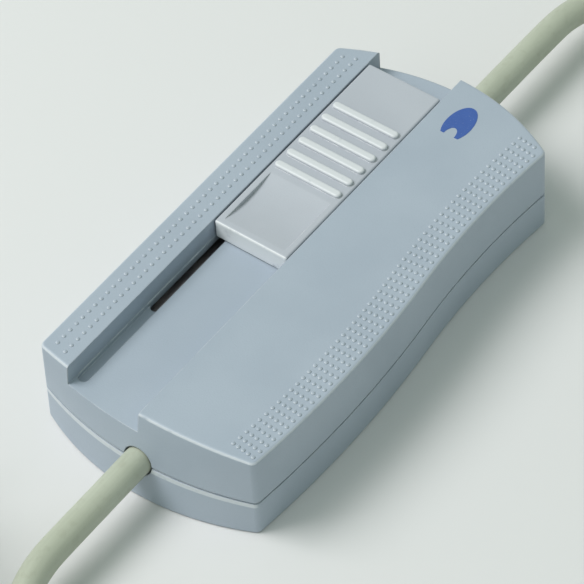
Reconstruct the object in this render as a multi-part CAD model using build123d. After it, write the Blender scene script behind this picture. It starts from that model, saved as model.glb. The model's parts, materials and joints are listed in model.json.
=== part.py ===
from build123d import *
import os
from math import atan2, cos, degrees, pi, radians, sin, sqrt, tan

# In-line slide dimmer for a lamp's cord. Millimetres, X along the casing from the mains end to the
# lamp end, Y towards the straight side, Z up. The origin is under the middle of the casing.

# Casing
corner_length = 102.0  # between the corners of the two ends
casing_width = 55.0  # from the straight side to the corners of the waved side
casing_height = 22.4
cover_height = 12.8  # from its top down to where it meets the base
near_bulge_foot = 6.6  # how far the mains end stands out at mid width, at the foot
near_bulge_top = 2.8  # and at the top, so that this end face slopes
far_bulge = 7.4  # how far the lamp end stands out
wave_cross = 58.0  # from the mains corner to where the waved side crosses over
wave_out = 1.6  # how far the waved side stands out before that
wall = 2.0
corner_radius = 1.6
top_edge_radius = 0.7
foot_edge_radius = 0.6
edge_break = 0.5  # small chamfers and round edges of moulded pieces
lip_thickness = 0.9
lip_height = 1.5
lip_gap = 0.15
parting_depth = 0.35
parting_width = 0.5

# Slider channel in the cover
rail_width = 8.6
channel_width = 19.4
channel_depth = 5.0
channel_floor = 1.8
guide_width = 2.6
guide_depth = 1.0
guide_from_rail = 1.5  # guide's centre line to the rail
guide_end_gap = 3.0  # guide's rounded ends to the ends of the cover

# Slider
slider_length = 55.0
slider_start = 47.0  # its mains end, from the mains corner, as it rests
slider_travel = 45.0
slider_gap = 0.3
slider_top_plate = 1.6
slider_skirt = 1.4
slider_rail_wall = 1.2  # left solid beside the foot
pad_length = 16.0
pad_depth = 0.9
pad_margin = 1.6
rib_count = 6
rib_pitch = 4.1
rib_width = 1.9
rib_rise = 0.8
rib_first = 20.2  # first rib's centre from the slider's mains end
rib_inset = 0.9
rib_edge_radius = 0.5
foot_length = 8.0
foot_thickness = 2.0
foot_below_floor = 0.9

# Screws that hold the casing, set in from its sides
post_inset = 6.6
post_radius = 3.0
boss_radius = 3.5
case_screw_radius = 1.25
case_screw_hole = 1.6
case_screw_head = 2.7
case_screw_head_height = 1.9
case_screw_length = 15.0
case_screw_recess = 3.2
post_hole_gap = 0.6
screw_head_gap = 0.3
thread_play = 0.05  # round each screw in the hole that it is driven into
screw_point = 0.5
screw_cross_width = 0.7
screw_cross_depth = 0.8
screw_head_edge = 0.6

# Circuit board
board_past_track = 7.5  # the board's ends past the potentiometer's
board_gap = 1.4  # the board's sides to the walls beside them
board_thickness = 1.6
part_headroom = 0.8  # the tallest parts to the channel over them
standoff_radius = 2.8
standoff_in_x = 4.0
standoff_in_y = 4.2
board_screw_hole = 1.15
board_screw_radius = 0.85
board_screw_head = 1.9
board_screw_head_height = 1.2
board_screw_end_gap = 0.6

# Slide potentiometer
track_end_room = 2.2  # past the carriage at each end of its travel
track_frame_width = 9.0
track_frame_height = 7.0
track_frame_wall = 0.8
track_slot_width = 2.2
track_plate_thickness = 1.2
track_strip_width = 1.4
track_strip_thickness = 0.2
track_strip_apart = 3.4
track_play = 0.3
carriage_length = 9.0
carriage_height = 2.6
lever_from_start = 27.5  # the lever's middle, from the slider's mains end
lever_length = 5.0
lever_thickness = 1.2
lever_into_slider = 3.6
lever_gap = 0.05
lever_seat = 0.8  # how deep the lever stops above the carriage's foot
contact_height = 0.7
contact_length = 5.0
contact_width = 1.0
contact_gap = 0.05

# Cord, its clamps and its exits
cord_diameter = 6.4
exit_gap = 0.35
clamp_length = 7.0
clamp_from_wall = 3.6
clamp_width = 22.0
clamp_gap = 0.8
clamp_ear_height = 2.2
clamp_arch_wall = 1.5
clamp_screw_y = 8.0
clamp_screw_radius = 0.95
clamp_screw_hole = 1.4
clamp_screw_head = 2.4
clamp_screw_head_height = 1.7
clamp_screw_length = 7.6
sheath_past_clamp = 1.0
cord_run_out = 5.0  # how far each cord runs straight out of the casing
core_radius = 1.15
core_apart = 1.3  # half the distance between two cores in the sheath
core_straight = 1.6  # between a core's end and its bend
core_bend_radius = 1.3
bare_wire_radius = 1.25
bare_wire_length = 7.5

# Screw terminals
terminal_length = 10.0
terminal_width = 16.4
terminal_height = 8.6
terminal_from_edge = 1.5
pole_y = 4.0
terminal_tube_radius = 2.4
terminal_tube_bore = 1.5
terminal_tube_length = 8.4
terminal_play = 0.05
terminal_screw_radius = 1.3
terminal_screw_sunk = 0.6
terminal_well_radius = 1.7
slot_width = 0.5
slot_depth = 0.6

# Triac on its heatsink
heatsink_length = 34.0
heatsink_depth = 17.5
heatsink_thickness = 1.5
heatsink_upright = 10.5
heatsink_x = -6.0
heatsink_from_edge = 0.75  # to the edge of the board
heatsink_above_board = 1.0
heatsink_peg = 2.0
triac_width = 10.2
triac_body_depth = 9.0
triac_body_height = 4.4
triac_tab_depth = 6.4
triac_tab_thickness = 1.3
triac_body_chamfer = 0.6
triac_from_upright = 0.8
triac_lead_width = 0.8
triac_lead_thickness = 0.5
triac_lead_pitch = 2.54
triac_lead_reach = 2.6
triac_screw_radius = 1.45
triac_screw_hole = 1.5
triac_screw_head = 2.7
triac_screw_head_height = 1.6
triac_screw_point = 0.3

# Choke
choke_x = 25.0
choke_from_edge = 0.6  # to the edge of the board
choke_core_radius = 2.5
choke_core_length = 23.0
choke_winding_radius = 5.0
choke_winding_length = 18.0
choke_lead_radius = 0.5
choke_lift = 0.4

# Smaller parts on the board
capacitor_lift = 0.5
filter_capacitor = (18.0, 6.0, 8.1)
filter_capacitor_at = (-13.0, 6.4)
timing_capacitor = (7.2, 2.6, 5.9)
timing_capacitor_at = (2.0, 1.6)
diac_at = (-18.0, 0.6)
diac_radius = 0.95
diac_length = 4.2
lead_radius = 0.3
lead_reach = 2.2
resistor_radius = 1.2
resistor_length = 6.2
resistor_x = 14.4
resistor_pitch = 4.4
resistor_count = 3
resistor_from_fuse = 0.65
fuse_x = 11.5
fuse_from_track = 0.75
fuse_length = 20.0
fuse_radius = 2.5
fuse_glass_wall = 0.6
fuse_wire_radius = 0.25
fuse_cap_length = 5.0
fuse_cap_wall = 0.15
fuse_clip_length = 4.6
fuse_clip_wall = 0.5
fuse_clip_stem = 2.0
fuse_clip_mouth = 3.2
fuse_lift = 1.2

# Put-away coil of the mains cord, wound clockwise and climbing, seen from above
coil_middle_radius = 32.0
coil_pitch = 6.9
coil_layers = 4
coil_whole_turns = 6  # before the last one is cut short where the cord heads for the plug
coil_bottom = 0.6
coil_sides = 4  # stretches of the winding in each turn, each drawn as two arcs
climb_turns = 0.5  # each climb to the next layer
tie_width = 5.0
tie_thickness = 0.5
tie_gap = 0.1
tie_corner_radius = 1.6
tie_angle = -78.0

# Flat two-pin plug
plug_length = 36.0
plug_width = 35.3
plug_thickness = 13.7
plug_neck_width = 13.0
plug_neck_length = 10.8
plug_neck_flare = 1.5
plug_corner_radius = 2.6
plug_face_length = 6.0
plug_edge_radius = 2.0
plug_seat_gap = 0.2
pin_apart = 18.6
pin_radius = 2.0
pin_length = 19.0
pin_tip_radius = 1.2
pin_sleeve_length = 10.0
pin_sleeve_radius = 1.8
pin_core_radius = 1.5
pin_depth = 6.0

# Free ends of the lamp cord
free_core_length = 8.0
ferrule_length = 7.0
ferrule_radius = 0.8

# Places worked out from the sizes above
total_length = corner_length + near_bulge_foot + far_bulge
near_x = near_bulge_foot - total_length / 2
far_x = near_x + corner_length
straight_y = (casing_width + wave_out) / 2
waved_y = straight_y - casing_width
wave_in = wave_out * (corner_length - wave_cross) / wave_cross
rail_y = straight_y - rail_width
plateau_y = rail_y - channel_width
channel_z = casing_height - channel_depth
under_channel = channel_z - channel_floor
guide_y = rail_y - guide_from_rail
ceiling = casing_height - wall
split_height = casing_height - cover_height
cord_radius = cord_diameter / 2
cord_z = split_height
slider_x = near_x + slider_start
lever_x = slider_x + lever_from_start
track_x = lever_x - slider_travel / 2
track_frame_length = slider_travel + carriage_length + 2 * (track_end_room + track_frame_wall)
board_top = under_channel - part_headroom - terminal_height
board_bottom = board_top - board_thickness
board_length = track_frame_length + 2 * board_past_track
board_edges = (waved_y + wave_in + wall + board_gap, straight_y - wall - board_gap)
board_y = sum(board_edges) / 2
board_width = board_edges[1] - board_edges[0]
track_top = board_top + track_frame_height
entry_z = board_top + terminal_height / 2
heatsink_y = board_edges[0] + heatsink_from_edge + heatsink_depth / 2
choke_y = board_edges[0] + choke_from_edge + choke_winding_radius
fuse_clip_radius = fuse_radius + fuse_cap_wall + fuse_clip_wall
fuse_y = guide_y - track_frame_width / 2 - fuse_from_track - fuse_clip_radius
resistor_reach = resistor_length / 2 + lead_reach + lead_radius
resistor_y = fuse_y - fuse_clip_radius - resistor_from_fuse - resistor_reach
corner_posts = [
    (x, y)
    for x in (near_x + post_inset, far_x - post_inset)
    for y in (waved_y + post_inset, straight_y - post_inset)
]
board_posts = [
    (side * (board_length / 2 - standoff_in_x), board_y + way * (board_width / 2 - standoff_in_y))
    for side, way in ((-1, -1), (1, 1), (1, -1), (-1, 1))
]


def block(x, y, z):
    """A box over three ranges, each a (low, high) pair."""
    spans = [high - low for low, high in (x, y, z)]
    middle = [(low + high) / 2 for low, high in (x, y, z)]
    return Pos(*middle) * Box(*spans)


def about(middle, length):
    """The range of a length set evenly about a middle."""
    return (middle - length / 2, middle + length / 2)


def rod_x(radius, x, y, z):
    return Pos((x[0] + x[1]) / 2, y, z) * Rot(0, 90, 0) * Cylinder(radius, x[1] - x[0])


def rod_y(radius, x, y, z):
    return Pos(x, (y[0] + y[1]) / 2, z) * Rot(90, 0, 0) * Cylinder(radius, y[1] - y[0])


def rod_z(radius, x, y, z):
    return Pos(x, y, (z[0] + z[1]) / 2) * Cylinder(radius, z[1] - z[0])


def near_bulge(z):
    """How far the mains end stands out at a height."""
    share = z / casing_height
    return near_bulge_foot + (near_bulge_top - near_bulge_foot) * share


def outline(inset, z):
    """The casing's outline at a height, moved in all round."""
    left, right = near_x + inset, far_x - inset
    low, high = waved_y + inset, straight_y - inset
    cross = near_x + wave_cross
    near_end = ThreePointArc(
        (left, high, z), (left - near_bulge(z), (low + high) / 2, z), (left, low, z)
    )
    wave = ThreePointArc((left, low, z), ((left + cross) / 2, low - wave_out, z), (cross, low, z))
    waist = ThreePointArc((cross, low, z), ((cross + right) / 2, low + wave_in, z), (right, low, z))
    far_end = ThreePointArc(
        (right, low, z), (right + far_bulge, (low + high) / 2, z), (right, high, z)
    )
    straight = Line((right, high, z), (left, high, z))
    return make_face(near_end + wave + waist + far_end + straight)


def is_upright(edge):
    rise = edge @ 1 - edge @ 0
    return abs(rise.X) + abs(rise.Y) < 0.01


def casing_body(inset, low, high):
    """The casing's full shape between two heights, moved in all round."""
    body = loft([outline(inset, low), outline(inset, high)], ruled=True)
    cross = near_x + wave_cross
    upright = [e for e in body.edges() if is_upright(e)]
    corners = [e for e in upright if abs((e @ 0).X - cross) > corner_radius]
    return fillet(corners, max(corner_radius - inset, edge_break))


def grown(z):
    """A block wider than the casing, over a range of heights."""
    return block(about(0, 2 * total_length), about(0, 2 * casing_width), z)


def outer_casing():
    body = casing_body(0, 0, casing_height)
    top = body.faces().sort_by(Axis.Z)[-1]
    body = fillet(top.edges(), top_edge_radius)
    foot = body.faces().sort_by(Axis.Z)[0]
    return fillet(foot.edges(), foot_edge_radius)


def parting_groove():
    """The line round the casing where its two halves meet."""
    low, high = about(split_height, parting_width)
    return grown((low, high)) - casing_body(parting_depth, low, high)


def cord_holes():
    """The round hole through both ends."""
    return rod_x(cord_radius + exit_gap, (-total_length, total_length), 0, cord_z)


def clamp_x(side):
    """The middle of a cord clamp: side is -1 at the mains end and 1 at the lamp end."""
    inner = near_x - near_bulge(cord_z) + wall if side < 0 else far_x + far_bulge - wall
    return inner - side * (clamp_from_wall + clamp_length / 2)


def sheath_end(side):
    """Where a sheath ends inside, just past its clamp."""
    return clamp_x(side) - side * (clamp_length / 2 + sheath_past_clamp)


def base_shell():
    shell = outer_casing() & grown((-1, split_height))
    room = casing_body(wall, wall, split_height + lip_height)
    shell -= room
    lip = casing_body(wall - lip_thickness, split_height, split_height + lip_height)
    shell += lip - room
    for x, y in corner_posts:
        shell += rod_z(boss_radius, x, y, (wall / 2, split_height))
    for x, y in board_posts:
        shell += rod_z(standoff_radius, x, y, (wall / 2, board_bottom))
        shell -= rod_z(board_screw_radius + thread_play, x, y, (wall / 2, board_bottom))
    for side in (-1, 1):
        x = about(clamp_x(side), clamp_length)
        shell += block(x, about(0, clamp_width), (wall / 2, cord_z - clamp_gap / 2))
        shell -= rod_x(cord_radius, (x[0] - 1, x[1] + 1), 0, cord_z)
        for y in (-clamp_screw_y, clamp_screw_y):
            shell -= rod_z(clamp_screw_radius + thread_play, sum(x) / 2, y, (wall, cord_z))
    for x, y in corner_posts:
        shell -= rod_z(case_screw_hole, x, y, (0, split_height))
        shell -= rod_z(case_screw_head + screw_head_gap, x, y, (-1, case_screw_recess))
    return shell - cord_holes() - parting_groove()


def channel(z):
    """The space of the slider's channel, open at both ends."""
    return block(about(0, 2 * total_length), (plateau_y, rail_y), z)


def guide_span():
    """Where the guide groove runs along the channel."""
    return (near_x - near_bulge_top + guide_end_gap, far_x + far_bulge / 2 - guide_end_gap)


def slot_span(gap):
    """Where the slider's foot sweeps along the guide, with a gap at each end."""
    reach = foot_length / 2 + gap
    return (lever_x - slider_travel - reach, lever_x + reach)


def long_slot(span, y, width, z):
    """A straight slot with round ends, as the solid to cut away."""
    radius = width / 2
    body = block((span[0] + radius, span[1] - radius), about(y, width), z)
    for x in (span[0] + radius, span[1] - radius):
        body += rod_z(radius, x, y, z)
    return body


def cover_shell():
    shell = outer_casing() & grown((split_height, casing_height + 1))
    room = casing_body(wall, split_height - 1, ceiling)
    room -= block(
        about(0, 2 * total_length),
        (plateau_y - wall, rail_y + wall),
        (under_channel, casing_height),
    )
    shell -= room
    for x, y in corner_posts:
        shell += rod_z(post_radius, x, y, (split_height, ceiling + wall / 2))
    lip_room = casing_body(
        wall - lip_thickness - lip_gap, split_height - 1, split_height + lip_height + lip_gap
    )
    shell -= lip_room - grown_posts()
    shell -= channel((channel_z, casing_height + 1))
    shell -= long_slot(guide_span(), guide_y, guide_width, (channel_z - guide_depth, channel_z))
    shell -= long_slot(
        slot_span(slider_gap + guide_width / 2),
        guide_y,
        guide_width,
        (under_channel - 1, channel_z),
    )
    for x, y in corner_posts:
        depth = case_screw_recess - case_screw_head_height + case_screw_length + post_hole_gap
        shell -= rod_z(case_screw_radius + thread_play, x, y, (split_height, depth))
    return shell - cord_holes() - parting_groove()


def grown_posts():
    """The cover's screw posts, where the room for the lip leaves them whole."""
    return Part() + [
        rod_z(post_radius, x, y, (split_height, split_height + 2 * lip_height)) for x, y in corner_posts
    ]


def screw(radius, length, head_radius, head_height):
    """A pan-head screw that points down, with its head on Z = 0 and a cross in it."""
    shank = rod_z(radius, 0, 0, (-length, 0))
    shank = chamfer(shank.edges().sort_by(Axis.Z)[0], screw_point)
    head = rod_z(head_radius, 0, 0, (0, head_height))
    head = fillet(head.edges().sort_by(Axis.Z)[-1], screw_head_edge)
    arm, bar = about(0, head_radius), about(0, screw_cross_width)
    top = (head_height - screw_cross_depth, head_height + 1)
    return shank + head - block(arm, bar, top) - block(bar, arm, top)


def casing_screws():
    length = case_screw_length - case_screw_head_height
    one = screw(case_screw_radius, length, case_screw_head, case_screw_head_height)
    return [Pos(x, y, case_screw_recess) * Rot(180, 0, 0) * one for x, y in corner_posts]


def circuit_board():
    board = block(about(0, board_length), about(board_y, board_width), (board_bottom, board_top))
    board = fillet(board.edges().filter_by(Axis.Z), 1.0)
    for x, y in board_posts[:2]:
        board -= rod_z(board_screw_hole, x, y, (board_bottom - 1, board_top + 1))
    return board


def board_screws():
    length = board_top - wall / 2 - board_screw_end_gap
    one = screw(board_screw_radius, length, board_screw_head, board_screw_head_height)
    return [Pos(x, y, board_top) * one for x, y in board_posts[:2]]


def track_room(z):
    """The space inside the potentiometer's frame."""
    return block(
        about(track_x, track_frame_length - 2 * track_frame_wall),
        about(guide_y, track_frame_width - 2 * track_frame_wall),
        z,
    )


def potentiometer_frame():
    frame = block(
        about(track_x, track_frame_length),
        about(guide_y, track_frame_width),
        (board_top, track_top),
    )
    frame = fillet(frame.edges().filter_by(Axis.Z), track_frame_wall)
    frame -= track_room((board_top - 1, track_top - track_frame_wall))
    slot = about(track_x, slider_travel + lever_length + 4 * track_play)
    return frame - block(slot, about(guide_y, track_slot_width), (board_top, track_top + 1))


def potentiometer_plate():
    top = board_top + track_plate_thickness
    return block(
        about(track_x, track_frame_length - 2 * track_frame_wall - track_play),
        about(guide_y, track_frame_width - 2 * track_frame_wall - track_play),
        (board_top, top),
    )


def potentiometer_tracks():
    low = board_top + track_plate_thickness
    length = slider_travel + contact_length + 2
    strip = block(
        about(track_x, length), about(guide_y, track_strip_width), (low, low + track_strip_thickness)
    )
    return [Pos(0, side * track_strip_apart / 2, 0) * strip for side in (-1, 1)]


def contact_foot():
    """The height of the wiper's contacts over the tracks."""
    return board_top + track_plate_thickness + track_strip_thickness + contact_gap


def wiper_contacts():
    """Two spring fingers under the carriage, just clear of the tracks."""
    low = contact_foot()
    fingers = []
    for y in (-track_strip_apart / 2, track_strip_apart / 2):
        finger = block(
            about(lever_x, contact_length), about(guide_y + y, contact_width), (low, low + contact_height)
        )
        arch = rod_y(contact_height, lever_x, about(guide_y + y, 2 * contact_width), low - contact_height / 2)
        fingers.append(finger - arch)
    return fingers


def wiper_carriage():
    low = contact_foot() + contact_height
    high = low + carriage_height
    body = block(
        about(lever_x, carriage_length),
        about(guide_y, track_frame_width - 2 * track_frame_wall - 2 * track_play),
        (low, high),
    )
    seat = block(
        about(lever_x, lever_length), about(guide_y, lever_thickness), (low + lever_seat, high + 1)
    )
    return body - seat


def wiper_lever():
    return block(
        about(lever_x, lever_length),
        about(guide_y, lever_thickness),
        (contact_foot() + contact_height + lever_seat, channel_z + slider_gap + lever_into_slider),
    )


def slider_knob():
    left, right = slider_x, slider_x + slider_length
    low, high = plateau_y + slider_gap, rail_y - slider_gap
    bottom = channel_z + slider_gap
    knob = block((left, right), (low, high), (bottom, casing_height))
    knob = fillet(knob.edges().filter_by(Axis.Z), edge_break)
    knob = fillet(knob.faces().sort_by(Axis.Z)[-1].edges(), edge_break)
    dish_radius = (pad_length**2 / 4 + pad_depth**2) / (2 * pad_depth)
    knob -= rod_y(
        dish_radius,
        left + pad_margin + pad_length / 2,
        (low + pad_margin, high - pad_margin),
        casing_height + dish_radius - pad_depth,
    )
    knob -= block(
        (left + slider_skirt, right - slider_skirt),
        (low + slider_skirt, guide_y - foot_thickness / 2 - slider_rail_wall),
        (bottom - 1, casing_height - slider_top_plate - pad_depth),
    )
    for i in range(rib_count):
        x = left + rib_first + i * rib_pitch
        knob += rib(x, (low + rib_inset, high - rib_inset))
    foot = block(
        about(lever_x, foot_length),
        about(guide_y, foot_thickness),
        (under_channel - foot_below_floor, bottom + 1),
    )
    knob += foot
    return knob - block(
        about(lever_x, lever_length + 2 * lever_gap),
        about(guide_y, lever_thickness + 2 * lever_gap),
        (board_top, bottom + lever_into_slider + lever_gap),
    )


def rib(x, span):
    """One raised rib across the slider, with round ends and a round top edge."""
    radius = rib_width / 2
    z = (casing_height - rib_rise, casing_height + rib_rise)
    bar = block(about(x, rib_width), (span[0] + radius, span[1] - radius), z)
    for y in (span[0] + radius, span[1] - radius):
        bar += rod_z(radius, x, y, z)
    return fillet(bar.faces().sort_by(Axis.Z)[-1].edges(), rib_edge_radius)


def cord_clamp(side):
    x = about(clamp_x(side), clamp_length)
    low = cord_z + clamp_gap / 2
    bar = block(x, about(0, clamp_width), (low, low + clamp_ear_height))
    arch = rod_x(cord_radius + clamp_arch_wall, x, 0, cord_z)
    bar += arch & grown((low, casing_height))
    bar -= rod_x(cord_radius, (x[0] - 1, x[1] + 1), 0, cord_z)
    for y in (-clamp_screw_y, clamp_screw_y):
        bar -= rod_z(clamp_screw_hole, sum(x) / 2, y, (low - 1, low + clamp_ear_height + 1))
    return bar


def clamp_screws():
    one = screw(clamp_screw_radius, clamp_screw_length, clamp_screw_head, clamp_screw_head_height)
    top = cord_z + clamp_gap / 2 + clamp_ear_height
    return [
        Pos(clamp_x(side), y, top) * one
        for side in (-1, 1)
        for y in (-clamp_screw_y, clamp_screw_y)
    ]


def terminal_x(side):
    return side * (board_length / 2 - terminal_from_edge - terminal_length / 2)


def terminal(side):
    x = about(terminal_x(side), terminal_length)
    top = board_top + terminal_height
    body = block(x, about(0, terminal_width), (board_top, top))
    body = chamfer(body.faces().sort_by(Axis.Z)[-1].edges(), edge_break)
    for y in (-pole_y, pole_y):
        body -= rod_x(terminal_tube_radius + terminal_play, (x[0] - 1, x[1] + 1), y, entry_z)
        body -= rod_z(terminal_well_radius, sum(x) / 2, y, (entry_z, top + 1))
    return body


def terminal_tubes():
    tubes = []
    for side in (-1, 1):
        for y in (-pole_y, pole_y):
            middle = terminal_x(side)
            x = about(middle, terminal_tube_length)
            tube = rod_x(terminal_tube_radius, x, y, entry_z)
            tube -= rod_x(terminal_tube_bore, (x[0] - 1, x[1] + 1), y, entry_z)
            thread = rod_z(terminal_screw_radius + terminal_play, middle, y, (entry_z, track_top))
            tubes.append(tube - thread)
    return tubes


def terminal_screws():
    screws = []
    low = entry_z + bare_wire_radius
    high = board_top + terminal_height - terminal_screw_sunk
    for side in (-1, 1):
        for y in (-pole_y, pole_y):
            x = terminal_x(side)
            body = rod_z(terminal_screw_radius, x, y, (low, high))
            slot_length = 4 * terminal_screw_radius
            slot = block(about(x, slot_length), about(y, slot_width), (high - slot_depth, high + 1))
            screws.append(body - slot)
    return screws


def inner_cores(side):
    """Two insulated cores from the sheath's end into their terminal, with bare ends."""
    wall_x = side * (board_length / 2 - terminal_from_edge)
    start = sheath_end(side)
    cores = []
    for way in (-1, 1):
        y0, y1 = way * core_apart, way * pole_y
        path = FilletPolyline(
            (start, y0, cord_z),
            (start - side * core_straight, y0, cord_z),
            (wall_x + side * core_straight, y1, entry_z),
            (wall_x, y1, entry_z),
            radius=core_bend_radius,
        )
        core = round_sweep(path, core_radius)
        bare_x = sorted((wall_x, wall_x - side * bare_wire_length))
        cores.append(core + rod_x(bare_wire_radius, bare_x, y1, entry_z))
    return cores


def heatsink_levels():
    low = board_top + heatsink_above_board
    return (low, low + heatsink_thickness)


def triac_y():
    """Where the tab starts, beside the heatsink's upright."""
    return heatsink_y - heatsink_depth / 2 + heatsink_thickness + triac_from_upright


def triac_heatsink():
    low, high = heatsink_levels()
    x, y = about(heatsink_x, heatsink_length), about(heatsink_y, heatsink_depth)
    plate = block(x, y, (low, high))
    plate += block(x, (y[0], y[0] + heatsink_thickness), (low, low + heatsink_upright))
    for peg in (x[0] + heatsink_peg, x[1] - heatsink_peg):
        plate += rod_z(heatsink_peg / 2, peg, y[1] - heatsink_peg, (board_top, low))
        plate += rod_z(heatsink_peg / 2, peg, y[0] + heatsink_peg, (board_top, low))
    hole_y = triac_y() + triac_tab_depth / 2
    return plate - rod_z(triac_screw_hole, heatsink_x, hole_y, (low - 1, high + 1))


def triac():
    seat = heatsink_levels()[1]
    start = triac_y()
    body_y = (start + triac_tab_depth, start + triac_tab_depth + triac_body_depth)
    x = about(heatsink_x, triac_width)
    tab = block(x, (start, body_y[0]), (seat, seat + triac_tab_thickness))
    hole_z = (seat - 1, seat + triac_body_height)
    tab -= rod_z(triac_screw_hole, heatsink_x, start + triac_tab_depth / 2, hole_z)
    body = block(x, body_y, (seat, seat + triac_body_height))
    body = chamfer(body.faces().sort_by(Axis.Z)[-1].edges(), triac_body_chamfer)
    part = tab + body
    lead_z = seat + triac_body_height / 2
    lead_y = body_y[1] + triac_lead_reach
    for i in (-1, 0, 1):
        across = about(heatsink_x + i * triac_lead_pitch, triac_lead_width)
        part += block(across, (body_y[1], lead_y), about(lead_z, triac_lead_thickness))
        part += block(
            across, (lead_y - triac_lead_thickness, lead_y), (board_top, lead_z + triac_lead_thickness / 2)
        )
    return part


def triac_screw():
    seat = heatsink_levels()[1] + triac_tab_thickness
    length = seat - board_top - triac_screw_point
    one = screw(triac_screw_radius, length, triac_screw_head, triac_screw_head_height)
    return Pos(heatsink_x, triac_y() + triac_tab_depth / 2, seat) * one


def choke_z():
    return board_top + choke_lift + choke_winding_radius


def choke_core():
    return rod_x(choke_core_radius, about(choke_x, choke_core_length), choke_y, choke_z())


def choke_winding():
    x = about(choke_x, choke_winding_length)
    winding = rod_x(choke_winding_radius, x, choke_y, choke_z())
    for end in (x[0] + choke_lead_radius, x[1] - choke_lead_radius):
        winding += rod_z(choke_lead_radius, end, choke_y, (board_top, choke_z()))
    return winding - rod_x(choke_core_radius, (x[0] - 1, x[1] + 1), choke_y, choke_z())


def box_part(size, place):
    """A boxed capacitor on two short leads."""
    low = board_top + capacitor_lift
    x, y = about(place[0], size[0]), about(place[1], size[1])
    body = block(x, y, (low, low + size[2]))
    body = fillet(body.edges().filter_by(Axis.Z), edge_break)
    for lead in (x[0] + lead_reach, x[1] - lead_reach):
        body += rod_z(lead_radius, lead, place[1], (board_top, low))
    return body


def axial_part(radius, length, place, along_x):
    """A round part on two bent leads, lying on the board."""
    z = board_top + radius + lead_radius
    body = rod_x(radius, about(0, length), 0, z)
    body = fillet(body.edges().filter_by(GeomType.CIRCLE), lead_radius)
    reach = length / 2 + lead_reach
    body += rod_x(lead_radius, (-reach, reach), 0, z)
    for end in (-reach, reach):
        body += rod_z(lead_radius, end, 0, (board_top, z + lead_radius))
    return Pos(*place, 0) * Rot(0, 0, 0 if along_x else 90) * body


def resistors():
    return [
        axial_part(resistor_radius, resistor_length, (resistor_x + i * resistor_pitch, resistor_y), False)
        for i in range(resistor_count)
    ]


def fuse_z():
    return board_top + fuse_lift + fuse_radius + fuse_cap_wall


def fuse_ends():
    """The ranges of the fuse's two end caps along X."""
    x = about(fuse_x, fuse_length)
    return [(x[0], x[0] + fuse_cap_length), (x[1] - fuse_cap_length, x[1])]


def fuse_glass():
    x = (fuse_x - fuse_length / 2 + fuse_cap_wall, fuse_x + fuse_length / 2 - fuse_cap_wall)
    glass = rod_x(fuse_radius, x, fuse_y, fuse_z())
    return glass - rod_x(fuse_radius - fuse_glass_wall, (x[0] - 1, x[1] + 1), fuse_y, fuse_z())


def fuse_wire():
    x = (fuse_x - fuse_length / 2 + fuse_cap_wall, fuse_x + fuse_length / 2 - fuse_cap_wall)
    return rod_x(fuse_wire_radius, x, fuse_y, fuse_z())


def fuse_caps():
    caps = []
    for x, inner in zip(fuse_ends(), (1, -1)):
        cap = rod_x(fuse_radius + fuse_cap_wall, x, fuse_y, fuse_z())
        shift = inner * fuse_cap_wall
        hollow = (x[0] + shift, x[1] + shift)
        caps.append(cap - rod_x(fuse_radius, hollow, fuse_y, fuse_z()))
    return caps


def fuse_clips():
    clips = []
    inner = fuse_radius + fuse_cap_wall
    for x in fuse_ends():
        span = about(sum(x) / 2, fuse_clip_length)
        clip = rod_x(fuse_clip_radius, span, fuse_y, fuse_z())
        clip += block(span, about(fuse_y, fuse_clip_stem), (board_top, fuse_z()))
        clip += block(span, about(fuse_y, 2 * inner), (board_top, board_top + fuse_clip_wall))
        clip -= rod_x(inner, (span[0] - 1, span[1] + 1), fuse_y, fuse_z())
        clips.append(clip - block(span, about(fuse_y, fuse_clip_mouth), (fuse_z(), ceiling)))
    return clips


# Points of the free cords, chosen by hand past the casing
mains_route = [
    (sheath_end(-1), 0.0, cord_z),
    (near_x - near_bulge_foot - cord_run_out, 0.0, cord_z),
    (-93.0, 0.6, 8.4),
    (-112.0, -12.2, 3.8),
    (-122.6, -19.6, 3.8),
]
lamp_route = [
    (sheath_end(1), 0.0, cord_z),
    (far_x + far_bulge + cord_run_out, 0.0, cord_z),
    (90.0, -0.8, 8.2),
    (112.0, -6.4, 3.6),
    (128.0, -17.0, 3.2),
]


def bend_radii(points):
    """The radius of each bend of a route: 0.45 of its shorter run over the tangent of half its turn."""
    radii = []
    for a, b, c in zip(points, points[1:], points[2:]):
        first, second = Vector(*b) - Vector(*a), Vector(*c) - Vector(*b)
        turn = radians(first.get_angle(second))
        radii.append(0.45 * min(first.length, second.length) / tan(turn / 2))
    return radii


def round_sweep(path, radius):
    section = Plane(origin=path @ 0, z_dir=path % 0) * Circle(radius)
    return sweep(section, path=path)


def cord(name, points):
    """A free cord's round tube along straight runs and tangent arcs."""
    radii = bend_radii(points)
    path = FilletPolyline(*points, radius=radii)
    tube = round_sweep(path, cord_radius)
    print(name, "radii", [round(r, 1) for r in radii])
    report(name, path, tube)
    return tube


def report(name, path, tube):
    """Prints a cord's length, and its volume over its section times its length."""
    share = tube.volume / (pi * cord_radius**2 * path.length)
    print(name, "length", round(path.length, 1), "volume share", round(share, 4))


def coil_way():
    """The way the mains route ends, level with the floor."""
    return (Vector(*mains_route[-1]) - Vector(*mains_route[-2])).normalized()


def coil_heading():
    way = coil_way()
    return degrees(atan2(way.Y, way.X))


def coil_turns():
    """All the turns of the winding, which ends heading along X."""
    return coil_whole_turns + coil_heading() / 360


def coil_start():
    """Where the winding starts, one cord diameter past the end of the mains route."""
    return Vector(*mains_route[-1]) + coil_way() * cord_diameter


def coil_spread():
    """Turns between two reversals of the spiral, which ends half a climb after the last one."""
    return (coil_turns() - climb_turns / 2) / (coil_layers - 1)


def coil_outer_radius():
    return coil_middle_radius + coil_pitch * coil_spread() / 2


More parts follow.
